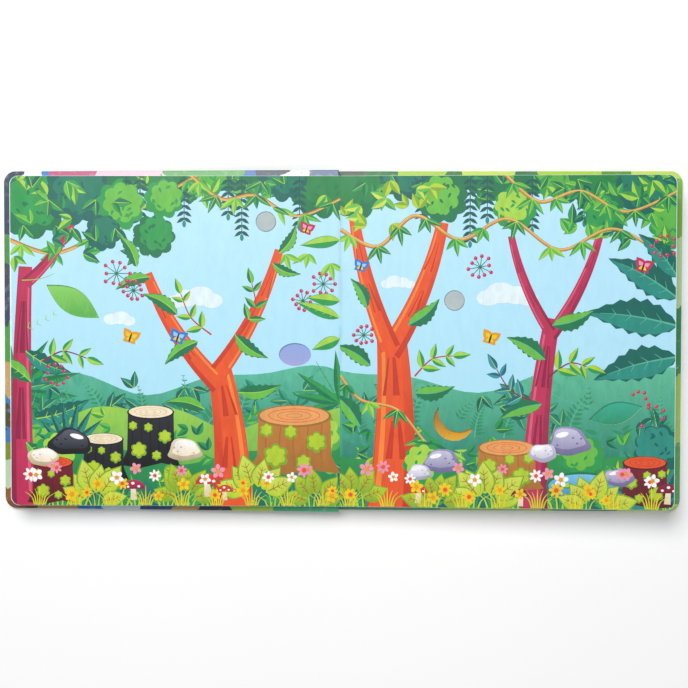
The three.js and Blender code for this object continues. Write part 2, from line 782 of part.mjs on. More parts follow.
// A shape of the print is given in shares of the page: outwards from the fold and upwards from its middle.
function hillShape(base, height, wave, phase) {
  const points = [[0, -PAGE_HEIGHT / 2], [PAGE_WIDTH, -PAGE_HEIGHT / 2]];
  const steps = 24;
  for (let i = steps; i >= 0; i--) {
    const out = i / steps;
    const swell = Math.sin(out / wave + phase) + 0.4 * Math.sin((2.3 * out) / wave + 2 * phase);
    points.push([PAGE_WIDTH * out, PAGE_HEIGHT * (base + height * swell)]);
  }
  return polygon(points);
}

// A tapering limb whose middle bends sideways by the given share.
function limbShape(...shares) {
  const scales = [PAGE_WIDTH, PAGE_HEIGHT, PAGE_WIDTH, PAGE_WIDTH, PAGE_HEIGHT, PAGE_WIDTH, PAGE_WIDTH];
  const [x0, y0, width0, x1, y1, width1, bend] = shares.map((share, i) => share * scales[i]);
  const length = Math.hypot(x1 - x0, y1 - y0);
  const nx = -(y1 - y0) / length;
  const ny = (x1 - x0) / length;
  const middleWidth = (width0 + width1) / 2;
  const mx = (x0 + x1) / 2 + nx * bend;
  const my = (y0 + y1) / 2 + ny * bend;
  const shape = new THREE.Shape();
  shape.moveTo(x0 - (nx * width0) / 2, y0 - (ny * width0) / 2);
  shape.quadraticCurveTo(
    mx - (nx * middleWidth) / 2, my - (ny * middleWidth) / 2,
    x1 - (nx * width1) / 2, y1 - (ny * width1) / 2,
  );
  shape.lineTo(x1 + (nx * width1) / 2, y1 + (ny * width1) / 2);
  shape.quadraticCurveTo(
    mx + (nx * middleWidth) / 2, my + (ny * middleWidth) / 2,
    x0 + (nx * width0) / 2, y0 + (ny * width0) / 2,
  );
  return shape;
}

function clumpShape(outShare, upShare, radiusShare, lobes = 8) {
  const shape = new THREE.Shape();
  const steps = lobes * 3;
  for (let i = 0; i < steps; i++) {
    const turn = (2 * Math.PI * i) / steps;
    const reach = PAGE_WIDTH * radiusShare * (0.86 + 0.14 * Math.abs(Math.sin((lobes * turn) / 2)));
    const px = PAGE_WIDTH * outShare + reach * Math.cos(turn);
    const py = PAGE_HEIGHT * upShare + reach * Math.sin(turn);
    if (i === 0) shape.moveTo(px, py);
    else shape.lineTo(px, py);
  }
  return shape;
}

function leftTree() {
  return [
    limbShape(0.328, -0.508, 0.123, 0.369, -0.072, 0.072, 0.031),
    limbShape(0.364, -0.133, 0.062, 0.585, 0.205, 0.031, -0.046),
    limbShape(0.369, -0.092, 0.056, 0.185, 0.277, 0.026, 0.041),
  ];
}

function leftSapling() {
  return [
    limbShape(0.964, -0.508, 0.077, 0.954, 0.226, 0.041, -0.015),
    limbShape(0.954, 0.174, 0.036, 0.81, 0.359, 0.021, 0.026),
  ];
}

function leftCanopy() {
  return [
    clumpShape(0.913, 0.41, 0.118),
    clumpShape(0.779, 0.451, 0.108),
    clumpShape(0.646, 0.379, 0.108),
    clumpShape(0.533, 0.287, 0.097),
    clumpShape(0.656, 0.267, 0.077),
    clumpShape(0.492, 0.41, 0.095),
  ];
}

function rightTree() {
  return [
    limbShape(0.154, -0.508, 0.144, 0.154, 0.031, 0.087, -0.026),
    limbShape(0.149, -0.031, 0.072, 0.308, 0.359, 0.036, -0.041),
    limbShape(0.154, -0.021, 0.062, 0.041, 0.379, 0.031, 0.031),
  ];
}

function rightSapling() {
  return [
    limbShape(0.585, -0.508, 0.082, 0.636, 0.072, 0.046, 0.026),
    limbShape(0.631, 0.021, 0.041, 0.779, 0.338, 0.021, -0.036),
    limbShape(0.631, 0.031, 0.036, 0.513, 0.318, 0.021, 0.031),
  ];
}

function rightBush() {
  return [
    clumpShape(0.492, -0.441, 0.087),
    clumpShape(0.595, -0.462, 0.103),
    clumpShape(0.708, -0.451, 0.092),
    clumpShape(0.8, -0.482, 0.072),
  ];
}

function rightCanopy() {
  return [
    clumpShape(0.072, 0.451, 0.108),
    clumpShape(0.215, 0.431, 0.113),
    clumpShape(0.359, 0.462, 0.087),
    clumpShape(0.513, 0.41, 0.097),
    clumpShape(0.656, 0.441, 0.097),
    clumpShape(0.79, 0.41, 0.087),
  ];
}

function printFields(side) {
  if (side < 0) {
    return [
      ["left_print_hills", [hillShape(-0.113, 0.036, 0.133, 0.4)], 0, "hillPrint"],
      ["left_print_meadow", [hillShape(-0.338, 0.026, 0.103, 1.7)], 1, "meadowPrint"],
      ["left_print_sapling", leftSapling(), 2, "magentaPrint"],
      ["left_print_tree", leftTree(), 2, "orangePrint"],
      ["left_print_canopy", leftCanopy(), 3, "canopyPrint"],
    ];
  }
  return [
    ["right_print_hills", [hillShape(-0.103, 0.036, 0.149, 2.2)], 0, "hillPrint"],
    ["right_print_meadow", [hillShape(-0.369, 0.026, 0.118, 0.3)], 1, "meadowPrint"],
    ["right_print_tree", rightTree(), 2, "orangePrint"],
    ["right_print_sapling", rightSapling(), 2, "magentaPrint"],
    ["right_print_bush", rightBush(), 3, "bushPrint"],
    ["right_print_canopy", rightCanopy(), 3, "canopyPrint"],
  ];
}

function trimmedPrint(slab, pad, holes) {
  const area = roundedRect(
    PRINT_GUTTER,
    -PAGE_HEIGHT / 2 + PRINT_EDGE,
    PAGE_WIDTH - PRINT_EDGE,
    PAGE_HEIGHT / 2 - PRINT_EDGE,
    0,
    PAGE_CORNER,
  );
  return cut(common(slab, prism(area, -1, 2)), [padHole(pad), ...peepHoles(holes)]);
}

// Assembly

const book = new THREE.Group();

function addPiece(parent, name, geometry, finish) {
  const mesh = new THREE.Mesh(geometry, new THREE.MeshStandardMaterial(FINISHES[finish]));
  mesh.name = name;
  parent.add(mesh);
}

function addPrintedPage(parent, side, fan, pad, holes) {
  const word = side < 0 ? "left" : "right";
  const turn = side < 0 ? mirrored : (geometry) => geometry;
  const leaf = new THREE.Group();
  leaf.rotation.y = -side * fan;
  parent.add(leaf);
  addPiece(leaf, `${word}_sound_button`, turn(pressPad(pad)), "padFilm");
  addPiece(leaf, `${word}_snap_dome`, turn(snapDome(pad)), "steel");
  addPiece(leaf, `${word}_touch_foil`, turn(touchFoil(pad)), "foilFilm");
  for (const [name, shapes, level, finish] of printFields(side)) {
    addPiece(leaf, name, turn(trimmedPrint(printSlab(shapes, level), pad, holes)), finish);
  }
}

function addRightHalf() {
  addPiece(book, "back_cover", backCover(), "coverPrint");
  addPiece(book, "foam_block", spacerBlock(), "foam");
  addPiece(book, "ribbon_cable", ribbonCable(), "foilFilm");
  const stack = new THREE.Group();
  stack.position.z = BOARD_THICKNESS + SPACER_THICKNESS;
  book.add(stack);
  const holes = [crescentOutline(CRESCENT_HOLE), leafOutline(LEAF_HOLE_RIGHT)];
  addPiece(stack, "right_pages", pageStack(RIGHT_FAN, RIGHT_PAD, holes), "skyPage");
  const top = new THREE.Group();
  top.position.z = STACK_THICKNESS;
  stack.add(top);
  addPrintedPage(top, 1, RIGHT_FAN, RIGHT_PAD, holes);
}

function addLeftHalf() {
  const half = new THREE.Group();
  half.position.z = FOLD_HEIGHT;
  half.rotation.y = -LEFT_TILT;
  book.add(half);
  addPiece(half, "front_cover", mirrored(frontCover()), "coverPrint");
  const holes = [leafOutline(LEAF_HOLE_LEFT), ovalOutline(OVAL_HOLE)];
  const pages = pageStack(LEFT_FAN, LEFT_PAD, holes);
  pages.translate(0, 0, -STACK_THICKNESS);
  addPiece(half, "left_pages", mirrored(pages), "skyPage");
  addPrintedPage(half, -1, LEFT_FAN, LEFT_PAD, holes);
}

function addModule() {
  const module = new THREE.Group();
  module.position.set(MODULE_CENTRE.x, MODULE_CENTRE.y, BOARD_THICKNESS);
  book.add(module);
  addPiece(module, "module_housing", moduleHousing(), "whitePlastic");
  addPiece(module, "module_lid", moduleLid(), "whitePlastic");
  lidScrewSpots().forEach(([x, y], i) => {
    const solid = screwSolid(x, y, SPACER_THICKNESS - 0.05, -1, LID_SCREW, 0.6);
    addPiece(module, `lid_screw_${i + 1}`, solid, "steel");
  });
  addPiece(module, "circuit_board", circuitBoard(), "circuitGreen");
  addPiece(module, "sound_chip", soundChip(), "epoxy");
  addPiece(module, "speaker_frame", speakerFrame(), "steel");
  addPiece(module, "speaker_cone", speakerCone(), "coneFilm");
  addPiece(module, "switch_frame", switchFrame(), "steel");
  addPiece(module, "power_switch", switchSlider(), "blackPlastic");
  addPiece(module, "battery_door", batteryDoor(), "whitePlastic");
  const screw = doorScrewSpot();
  addPiece(module, "battery_door_screw", screwSolid(screw.x, screw.y, 0.05, 1, DOOR_SCREW, 0.5), "steel");
  for (let cell = 0; cell < CELL_COUNT; cell++) {
    addPiece(module, `button_cell_${cell + 1}`, buttonCell(cell), "steel");
  }
  addPiece(module, "cell_strap", contactStrap(1, 2, DOOR_THICKNESS + CELL_HEIGHT + 0.6), "steel");
  addPiece(module, "door_strap", contactStrap(0, 1, DOOR_THICKNESS + 0.06), "steel");
  addPiece(module, "positive_contact", endContact(-1), "steel");
  addPiece(module, "negative_contact", endContact(1), "steel");
}

addRightHalf();
addLeftHalf();
addModule();
addPiece(book, "spine_board", spineBoard(), "spinePrint");

// The origin is below the middle of the open book, on the table.
book.updateMatrixWorld(true);
const bounds = new THREE.Box3().setFromObject(book, true);
book.position.x = -(bounds.min.x + bounds.max.x) / 2;

export default book;
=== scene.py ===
import json
import math
import random

import bmesh
import bpy
import numpy as np
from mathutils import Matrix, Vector


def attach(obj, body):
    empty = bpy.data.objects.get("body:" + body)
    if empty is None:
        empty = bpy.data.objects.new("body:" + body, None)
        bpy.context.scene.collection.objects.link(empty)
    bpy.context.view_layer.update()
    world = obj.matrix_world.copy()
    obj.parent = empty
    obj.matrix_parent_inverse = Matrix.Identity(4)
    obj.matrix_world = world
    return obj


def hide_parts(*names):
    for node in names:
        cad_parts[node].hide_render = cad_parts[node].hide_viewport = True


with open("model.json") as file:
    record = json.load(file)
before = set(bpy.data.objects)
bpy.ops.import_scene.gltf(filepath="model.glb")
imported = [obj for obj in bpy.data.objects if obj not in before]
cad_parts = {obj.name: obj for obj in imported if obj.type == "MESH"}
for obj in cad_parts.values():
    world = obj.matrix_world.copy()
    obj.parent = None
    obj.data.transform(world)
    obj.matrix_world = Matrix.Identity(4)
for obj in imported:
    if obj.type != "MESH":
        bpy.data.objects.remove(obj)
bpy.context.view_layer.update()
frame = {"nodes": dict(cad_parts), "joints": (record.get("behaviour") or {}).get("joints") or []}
NODES = frame["nodes"]
JOINTS = {joint["name"]: joint for joint in frame["joints"]}
MM = 0.001

# Pages, in millimetres, as the model has them
PAGE_WIDTH = 195
HALF_HEIGHT = 97.5
PAGE_CORNER = 5
LEAF_THICKNESS = 1.3
FOLD_BELOW_HINGE = 0.5
PAD_RADIUS = 6

# Covers, in millimetres, with the height where their upper and lower strips begin
COVER_WIDTH = 203
COVER_HALF_HEIGHT = 101.5
STRIP_START = 97.2

# Print, in millimetres: its margins, its heights over the card, and the least that is printed
PRINT_EDGE = 0.15
PRINT_GUTTER = 0.03
SKIN_EDGE = 0.6
SKIN_GUTTER = 1.2
HOLE_MARGIN = 0.7
INK_BOTTOM = 0.115
INK_TOP = 0.2
FLOWER_LIFT = 0.002
PATCH_LIFT = 0.02
PATCH_THICKNESS = 0.05
LEAST_GAP = 0.02
LEAST_AREA = 0.05
FROND_TOP = 97
BIG_LEAF_TEETH = 0.12

# Peep holes and press pads as rounded bars: out, up, half length, turn, radius
LEFT_LEAF_HOLE = (158, 23.5, 11.5, 32, 7.3)
OVAL_HOLE = (26.6, -7.6, 2.8, 0, 6.9)
CRESCENT_HOLE = (64, -51.5, 7, -28, 7)
RIGHT_LEAF_HOLE = (161, -41, 10, 14, 6.4)
LEFT_PAD = (43.8, 70.6, 0, 0, PAD_RADIUS)
RIGHT_PAD = (67.1, 24.4, 0, 0, PAD_RADIUS)

# Recut of the left leaf-shaped hole: its size, its turn in the model, and how far plug and punch reach
LEFT_LEAF_SIZE = (37, 15)
LEFT_LEAF_CAD_TURN = -32
PLUG_MARGIN = 0.5
PLUG_SINK = 0.002
PUNCH_PAST = 0.12

# Camera: place in metres and turn in degrees, fitted to the page and cover edges in the photograph
CAMERA_PLACE = (0.0202, 0.0232, 0.838)
CAMERA_TURN = (-1.707, 1.269, 0.108)
LENS = 72.95

# Studio, in metres and watts
FLOOR_HALF = 5.0
FLOOR_LEVEL = -0.0004
WORLD_STRENGTH = 0.18
KEY_WATTS = 20
FILL_WATTS = 5.4

# Inks
SKY = "BAE7FB"
SKY_LOW = "A9E0F4"
CLOUD = "E6F7FD"
HILL_LOW = "1F7F6C"
HILL_HIGH = "5FC0A0"
PINE = "1B5E56"
LEAF_DARK = "1F7A50"
LEAF_MID = "2E9E52"
LEAF_LIGHT = "6CC04A"
LEAF_PALE = "A9D84E"
LIME = "B8D433"
LIME_DARK = "86AE2C"
TEAL_DARK = "17695F"
TEAL = "2B9183"
TEAL_LIGHT = "5DB79C"
ORANGE = "EE5A2C"
ORANGE_DARK = "C93B23"
MAGENTA = "C4335C"
MAGENTA_DARK = "8E2448"
BURGUNDY = "7E2231"
RED = "E8442E"
TAN = "D9A24F"
TAN_DARK = "A8712F"
TAN_LIGHT = "F2C877"
YELLOW = "F6CF1F"
AMBER = "E9A11C"
WHITE = "FFFFFF"
CREAM = "FBEBCB"
PINK = "F59AB4"
CHARCOAL = "2B2E38"
BLACK = "15161C"
LILAC_PALE = "CFCDE4"
BLUE = "2F7FD0"
BLUE_PALE = "9FD0F5"

# Inks that go together
GREENS = [(LEAF_DARK, LEAF_MID), (LEAF_MID, LEAF_LIGHT), ("3F9E4A", LEAF_PALE), (TEAL_DARK, LEAF_MID)]
LIMES = [(LIME_DARK, LIME), (LEAF_LIGHT, "D3E25A"), (LEAF_MID, LIME)]
BRIGHT_LIME = (LIME, "D3E25A")
DEEP_LIME = (LIME_DARK, LIME)
ORANGE_BARK = (ORANGE_DARK, ORANGE, "F98A3C")
MAGENTA_BARK = (MAGENTA_DARK, MAGENTA, "E0607F")
TAN_STUMP = (TAN_DARK, "C9803C", "EBA765", ORANGE)
BLACK_STUMP = (BLACK, CHARCOAL, CREAM, "D9C39A")
RED_STUMP = ("5C1826", BURGUNDY, ORANGE, ORANGE_DARK)
BLACK_STONE = (BLACK, CHARCOAL, "5A5E6B")
CREAM_STONE = ("B9AB8C", CREAM, WHITE)
LILAC_STONE = ("716D98", "9C98BE", LILAC_PALE)
PALE_STONE = ("A8A6BC", LILAC_PALE, WHITE)

# Moss on a stump: across, up, size
MOSS = ((-0.6, 0.55, 0.3), (0.5, 0.3, 0.36), (0.1, 0.72, 0.2), (-0.25, 0.2, 0.22), (0.75, 0.75, 0.2))

# Fields of the cover's wrap: outer strip, upper strip, lower strip, picture outside
FRONT_WRAP = (
    [
        (0, "8A5A2B"), (0.06, "B9D6B0"), (0.13, "7C8F2F"), (0.2, "3E78B4"), (0.25, "4A4F2A"),
        (0.29, "2F7FC0"), (0.34, "C8A36A"), (0.43, "4E9A46"), (0.56, "38435C"), (0.72, "3F8F45"),
        (0.82, "2F3A52"),
    ],
    [
        (0, "5B6F92"), (0.1, "E9EDF2"), (0.16, "3B455C"), (0.24, "3F74B5"), (0.3, "63A95C"),
        (0.52, "F3C9D8"), (0.72, "C5527E"), (0.84, "2F7FD0"), (0.88, "F4F4F2"), (0.93, "2F3A52"),
    ],
    [
        (0, "2F9A6A"), (0.2, "9CC43C"), (0.3, "24303B"), (0.4, "C39A5C"), (0.5, "2A4E7D"),
        (0.6, "CFE3EA"), (0.68, "2F7FC0"), (0.78, "C8A36A"), (0.92, "7A4A24"),
    ],
    [(0, LEAF_DARK), (0.25, LEAF_MID), (0.45, LEAF_LIGHT), (0.6, TEAL_DARK), (0.75, LEAF_PALE), (0.88, TEAL)],
)
BACK_WRAP = (
    [(0, "4CA04A"), (0.2, "A8CC5A"), (0.4, "2E8E55"), (0.6, "BFE0A8"), (0.8, "7CB83C")],
    [
        (0, "4A5F4A"), (0.08, "2C7A3C"), (0.16, "A9CF3C"), (0.3, "3C7F3A"), (0.36, "C4DC5A"),
        (0.5, "2F7A44"), (0.58, "A9CF3C"), (0.76, "5E9A3A"), (0.84, "C4DC5A"),
    ],
    [(0, "2F8F5A"), (0.3, "9CC43C"), (0.6, "2C7A3C"), (0.8, "B7D655")],
    [(0, TEAL_DARK), (0.25, LEAF_MID), (0.45, "8FD14F"), (0.6, LEAF_DARK), (0.75, LIME), (0.88, TEAL)],
)
SPINE_WRAP = (
    [(0, TEAL_DARK), (0.3, LEAF_MID), (0.5, TEAL), (0.75, LEAF_DARK)],
    [(0, TEAL), (0.5, TEAL_DARK)],
    [(0, TEAL), (0.5, TEAL_DARK)],
    [(0, TEAL_DARK), (0.3, TEAL), (0.6, LEAF_MID), (0.8, LEAF_DARK)],
)


def linear(code):
    """A six-digit ink colour as linear red, green and blue."""
    channels = [int(code[i : i + 2], 16) / 255 for i in (0, 2, 4)]
    return tuple(c / 12.92 if c <= 0.04045 else ((c + 0.055) / 1.055) ** 2.4 for c in channels)


# Shapes of the print, as lists of points in millimetres out from the fold and up from its middle


def away(start, turn, reach):
    """The place at a distance from another, in a direction in degrees."""
    angle = math.radians(turn)
    return start[0] + reach * math.cos(angle), start[1] + reach * math.sin(angle)


def spun(points, x, y, turn):
    cos, sin = math.cos(math.radians(turn)), math.sin(math.radians(turn))
    return [(x + px * cos - py * sin, y + px * sin + py * cos) for px, py in points]


def ellipse(x, y, rx, ry, turn=0, steps=22):
    ring = [(rx * math.cos(math.tau * i / steps), ry * math.sin(math.tau * i / steps)) for i in range(steps)]
    return spun(ring, x, y, turn)


def clump(x, y, radius, lobes, depth, turn=0):
    """A round bush or moss cushion with a lobed edge."""
    steps = lobes * 5
    ring = []
    for i in range(steps):
        angle = math.tau * i / steps
        reach = radius * (1 - depth + depth * abs(math.sin(lobes * angle / 2)))
        ring.append((reach * math.cos(angle), reach * math.sin(angle)))
    return spun(ring, x, y, turn)


def blade(x, y, turn, length, width, bend=0, steps=9, part="whole", teeth=0):
    """A leaf from its stalk at x, y: the whole of it, or its left part along the midrib."""
    upper = []
    lower = []
    middle = []
    for i in range(steps + 1):
        t = i / steps
        half = 0.5 * width * math.sin(math.pi * t**0.8) * (1 - 0.25 * t)
        if teeth and 0 < i < steps:
            half *= 1 + teeth * (1 if i % 2 else -1)
        rib = bend * math.sin(math.pi * t)
        middle.append((length * t, rib))
        upper.append((length * t, rib + half))
        lower.append((length * t, rib - half))
    first = middle if part == "left" else lower[:-1] + upper[-1:]
    return spun(first + upper[-2:0:-1], x, y, turn)


def between(t, a, b, c, d):
    """A soft curve's value between b and c, with a before them and d after them."""
    return 0.5 * (2 * b + (c - a) * t + (2 * a - 5 * b + 4 * c - d) * t * t + (3 * b - a - 3 * c + d) * t**3)


def smooth(points, steps=8):
    """Points on a soft line through the given ones."""
    line = []
    for i in range(len(points) - 1):
        near = (points[max(i - 1, 0)], points[i], points[i + 1], points[min(i + 2, len(points) - 1)])
        for k in range(steps):
            line.append(tuple(between(k / steps, *values) for values in zip(*near)))
    line.append(tuple(points[-1]))
    return line


def ribbon(line, start, end, shift=0):
    """A band along a line, with the given widths at its ends, moved sideways by shift of its width."""
    left = []
    right = []
    for i, (x, y) in enumerate(line):
        ax, ay = line[max(i - 1, 0)]
        bx, by = line[min(i + 1, len(line) - 1)]
        size = math.hypot(bx - ax, by - ay) or 1
        nx, ny = -(by - ay) / size, (bx - ax) / size
        width = start + (end - start) * i / (len(line) - 1)
        x += nx * shift * width
        y += ny * shift * width
        left.append((x + nx * width / 2, y + ny * width / 2))
        right.append((x - nx * width / 2, y - ny * width / 2))
    return right + left[::-1]


def limb_line(x0, y0, x1, y1, bend, steps):
    """A line between two places, with its middle pulled sideways by bend."""
    size = math.hypot(x1 - x0, y1 - y0)
    mx = (x0 + x1) / 2 - (y1 - y0) / size * bend
    my = (y0 + y1) / 2 + (x1 - x0) / size * bend
    line = []
    for i in range(steps + 1):
        t = i / steps
        start, middle, end = (1 - t) ** 2, 2 * t * (1 - t), t * t
        line.append((start * x0 + middle * mx + end * x1, start * y0 + middle * my + end * y1))
    return line


def swell(base, height, wave, phase):
    """Rolling ground from under the page's foot up to a soft wave."""
    top = []
    for i in range(61):
        out = PAGE_WIDTH * i / 60
        rise = math.sin(out / wave + phase) + 0.4 * math.sin(2.3 * out / wave + 2 * phase)
        top.append((out, base + height * rise))
    return [(0, -HALF_HEIGHT - 1), (PAGE_WIDTH, -HALF_HEIGHT - 1)] + top[::-1]


def page_outline():
    high = HALF_HEIGHT - PRINT_EDGE
    far = PAGE_WIDTH - PRINT_EDGE
    points = [(PRINT_GUTTER, -high)]
    for middle, first in ((-high + PAGE_CORNER, -90), (high - PAGE_CORNER, 0)):
        points += [away((far - PAGE_CORNER, middle), first + 15 * i, PAGE_CORNER) for i in range(7)]
    points.append((PRINT_GUTTER, high))
    return points


def clip(points, window):
    """The part of a shape inside a convex window whose corners run anticlockwise."""
    for i in range(len(window)):
        ax, ay = window[i - 1]
        bx, by = window[i]
        kept = []
        sides = [(bx - ax) * (py - ay) - (by - ay) * (px - ax) for px, py in points]
        for k, (px, py) in enumerate(points):
            before = sides[k - 1]
            here = sides[k]
            if (before >= 0) != (here >= 0):
                t = before / (before - here)
                qx, qy = points[k - 1]
                kept.append((qx + t * (px - qx), qy + t * (py - qy)))
            if here >= 0:
                kept.append((px, py))
        points = kept
        if len(points) < 3:
            return []
    return points


def area_of(points):
    return 0.5 * sum(points[i - 1][0] * y - x * points[i - 1][1] for i, (x, y) in enumerate(points))


def without_doubles(points):
    kept = []
    for p in points:
        if not kept or math.dist(p, kept[-1]) > LEAST_GAP:
            kept.append(p)
    while len(kept) > 2 and math.dist(kept[0], kept[-1]) <= LEAST_GAP:
        kept.pop()
    return kept


def inside(point, points):
    x, y = point
    found = False
    for i, (bx, by) in enumerate(points):
        ax, ay = points[i - 1]
        if (ay > y) != (by > y) and x < ax + (bx - ax) * (y - ay) / (by - ay):
            found = not found
    return found


def edge_distance(point, points):
    x, y = point
    nearest = 1e9
    for i, (bx, by) in enumerate(points):
        ax, ay = points[i - 1]
        dx, dy = bx - ax, by - ay
        size = dx * dx + dy * dy or 1e-9
        t = min(1, max(0, ((x - ax) * dx + (y - ay) * dy) / size))
        nearest = min(nearest, math.hypot(ax + t * dx - x, ay + t * dy - y))
    return nearest


def crosses(first, second):
    """True where two outlines cross or one lies inside the other."""
    a, b = np.array(first), np.array(second)
    a_next, b_next = np.roll(a, -1, axis=0), np.roll(b, -1, axis=0)

    def turn(p, q, r):
        along, aside = q - p, r - p
        return along[..., 0] * aside[..., 1] - along[..., 1] * aside[..., 0]

    a0, a1, b0, b1 = a[:, None], a_next[:, None], b[None], b_next[None]
    apart = (turn(a0, a1, b0) > 0) != (turn(a0, a1, b1) > 0)
    across = (turn(b0, b1, a0) > 0) != (turn(b0, b1, a1) > 0)
    return bool((apart & across).any()) or inside(first[0], second) or inside(second[0], first)


def guard_circles(hole):
    """A rounded bar as circles close together."""
    x, y, half, turn, radius = hole
    shares = (-1, -0.5, 0, 0.5, 1) if half else (0,)
    return [(*away((x, y), turn, half * share), radius) for share in shares]


class Page:
    """One open page: what is printed on it, and where its top leaf lies."""

    outline = page_outline()

    def __init__(self, side, press, holes):
        self.side = side
        normal = -Vector(JOINTS[press]["axis"])
        hinge = Vector(JOINTS["front_cover_hinge"]["pos_m"])
        self.normal = normal.normalized()
        self.out = Vector((self.normal.z, 0, -self.normal.x)) * side
        self.fold = Vector((hinge.x, 0, hinge.z - FOLD_BELOW_HINGE * MM))
        self.guards = [circle for hole in holes for circle in guard_circles(hole)]
        self.shapes = []

    def place(self, u, v, height):
        return self.fold + (self.out * u + self.normal * height) * MM + Vector((0, v * MM, 0))

    def plate(self, points, bottom, top, first=0):
        """The places and faces of a flat closed plate over an outline, numbered from first."""
        count = len(points)
        verts = [self.place(u, v, height) for height in (bottom, top) for u, v in points]
        faces = [list(reversed(range(count))), [count + i for i in range(count)]]
        faces += [[i, (i + 1) % count, count + (i + 1) % count, count + i] for i in range(count)]
        return verts, [[first + i for i in face] for face in faces]

    def faced(self, points):
        """An outline's points in the order that turns a plate's faces outwards."""
        return points if (area_of(points) > 0) == (self.side > 0) else points[::-1]

    def blocked(self, points, box):
        for x, y, radius in self.guards:
            reach = radius + HOLE_MARGIN
            if x + reach < box[0] or x - reach > box[2] or y + reach < box[1] or y - reach > box[3]:
                continue
            if inside((x, y), points) or edge_distance((x, y), points) < reach:
                return True
        return False

    def ink(self, points, low, high=None):
        """Prints a shape in one colour, or in two that run together from its foot to its top."""
        points = without_doubles(clip(points, self.outline))
        if len(points) < 3 or abs(area_of(points)) < LEAST_AREA:
            return
        if area_of(points) < 0:
            points.reverse()
        xs = [p[0] for p in points]
        ys = [p[1] for p in points]
        box = (min(xs), min(ys), max(xs), max(ys))
        if self.blocked(points, box):
            return
        layer = 0
        for other in sorted(self.shapes, key=lambda shape: -shape["layer"]):
            b = other["box"]
            near = b[0] < box[2] and b[2] > box[0] and b[1] < box[3] and b[3] > box[1]
            if near and crosses(points, other["points"]):
                layer = other["layer"] + 1
                break
        low = linear(low)
        high = linear(high) if high else low
        self.shapes.append({"points": points, "box": box, "layer": layer, "low": low, "high": high})

    def build(self, name, body, material):
        """Every shape becomes a thin closed slab, a trace higher than those it overlaps."""
        layers = max(shape["layer"] for shape in self.shapes) + 1
        step = (INK_TOP - INK_BOTTOM) / (layers + 1)
        verts = []
        faces = []
        inks = []
        for shape in self.shapes:
            points = self.faced(shape["points"])
            top = INK_BOTTOM + step * (shape["layer"] + 2)
            more_verts, more_faces = self.plate(points, INK_BOTTOM, top, len(verts))
            verts += more_verts
            faces += more_faces
            foot = shape["box"][1]
            rise = max(shape["box"][3] - foot, 1e-6)
            tones = []
            for _, v in points:
                t = (v - foot) / rise
                tones.append([a + (b - a) * t for a, b in zip(shape["low"], shape["high"])] + [1])
            inks += tones + tones
        piece = mesh_piece(name, verts, faces, material)
        colours = piece.data.attributes.new("ink", "FLOAT_COLOR", "POINT")
        colours.data.foreach_set("color", [c for ink in inks for c in ink])
        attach(piece, body)
        return piece


def linked(name, data):
    """A new object in the scene."""
    made = bpy.data.objects.new(name, data)
    bpy.context.scene.collection.objects.link(made)
    return made


def mesh_piece(name, verts, faces, material):
    mesh = bpy.data.meshes.new(name)
    mesh.from_pydata([tuple(v) for v in verts], [], faces)
    mesh.materials.append(material)
    mesh.update()
    return linked(name, mesh)


# Materials


def add_node(tree, kind, links=None, **settings):
    """Adds a node. links maps an input's name or number to a value or to another node's output."""
    made = tree.nodes.new(kind)
    for key, value in settings.items():
        setattr(made, key, value)
    for key, value in (links or {}).items():
        if isinstance(value, bpy.types.NodeSocket):
            tree.links.new(value, made.inputs[key])
        else:
            made.inputs[key].default_value = value
    return made.outputs


def finish_material(name, roughness, metallic=0.0, specular=0.5, coat=0.0):
    material = bpy.data.materials.new(name)
    material.use_nodes = True
    shader = material.node_tree.nodes["Principled BSDF"]
    shader.inputs["Roughness"].default_value = roughness
    shader.inputs["Metallic"].default_value = metallic
    shader.inputs["Specular IOR Level"].default_value = specular
    shader.inputs["Coat Weight"].default_value = coat
    shader.inputs["Coat Roughness"].default_value = 0.2
    return material, material.node_tree, shader


def paint(tree, shader, colour, roughness=None):
    tree.links.new(colour, shader.inputs["Base Color"])
    if roughness is not None:
        tree.links.new(roughness, shader.inputs["Roughness"])


def bump(tree, shader, height, strength, distance):
    links = {"Height": height, "Strength": strength, "Distance": distance}
    tree.links.new(add_node(tree, "ShaderNodeBump", links)["Normal"], shader.inputs["Normal"])


def math_node(tree, operation, first, second=0.0):
    return add_node(tree, "ShaderNodeMath", {0: first, 1: second}, operation=operation)[0]


def axis(tree, source, letter):
    """One axis of the piece's Object place or of its Normal."""
    place = add_node(tree, "ShaderNodeTexCoord")[source]
    return add_node(tree, "ShaderNodeSeparateXYZ", {0: place})[letter]


def object_coords(tree, stretch=(1, 1, 1), turn=0.0):
    place = add_node(tree, "ShaderNodeTexCoord")["Object"]
    links = {"Vector": place, "Scale": stretch, "Rotation": (0, 0, turn)}
    return add_node(tree, "ShaderNodeMapping", links)["Vector"]


def noise(tree, scale, detail=2, stretch=(1, 1, 1), turn=0.0, rough=0.55, distortion=0.0):
    links = {"Vector": object_coords(tree, stretch, turn), "Scale": scale, "Detail": detail}
    links.update({"Roughness": rough, "Distortion": distortion})
    return add_node(tree, "ShaderNodeTexNoise", links)["Fac"]


def cells(tree, scale):
    return add_node(tree, "ShaderNodeTexVoronoi", {"Vector": object_coords(tree), "Scale": scale})["Distance"]


def ramp(tree, factor, stops, constant=False):
    made = tree.nodes.new("ShaderNodeValToRGB")
    tree.links.new(factor, made.inputs["Fac"])
    band = made.color_ramp
    band.interpolation = "CONSTANT" if constant else "LINEAR"
    while len(band.elements) < len(stops):
        band.elements.new(0.5)
    for element, (position, code) in zip(band.elements, stops):
        element.position = position
        element.color = (*linear(code), 1)
    return made.outputs["Color"]


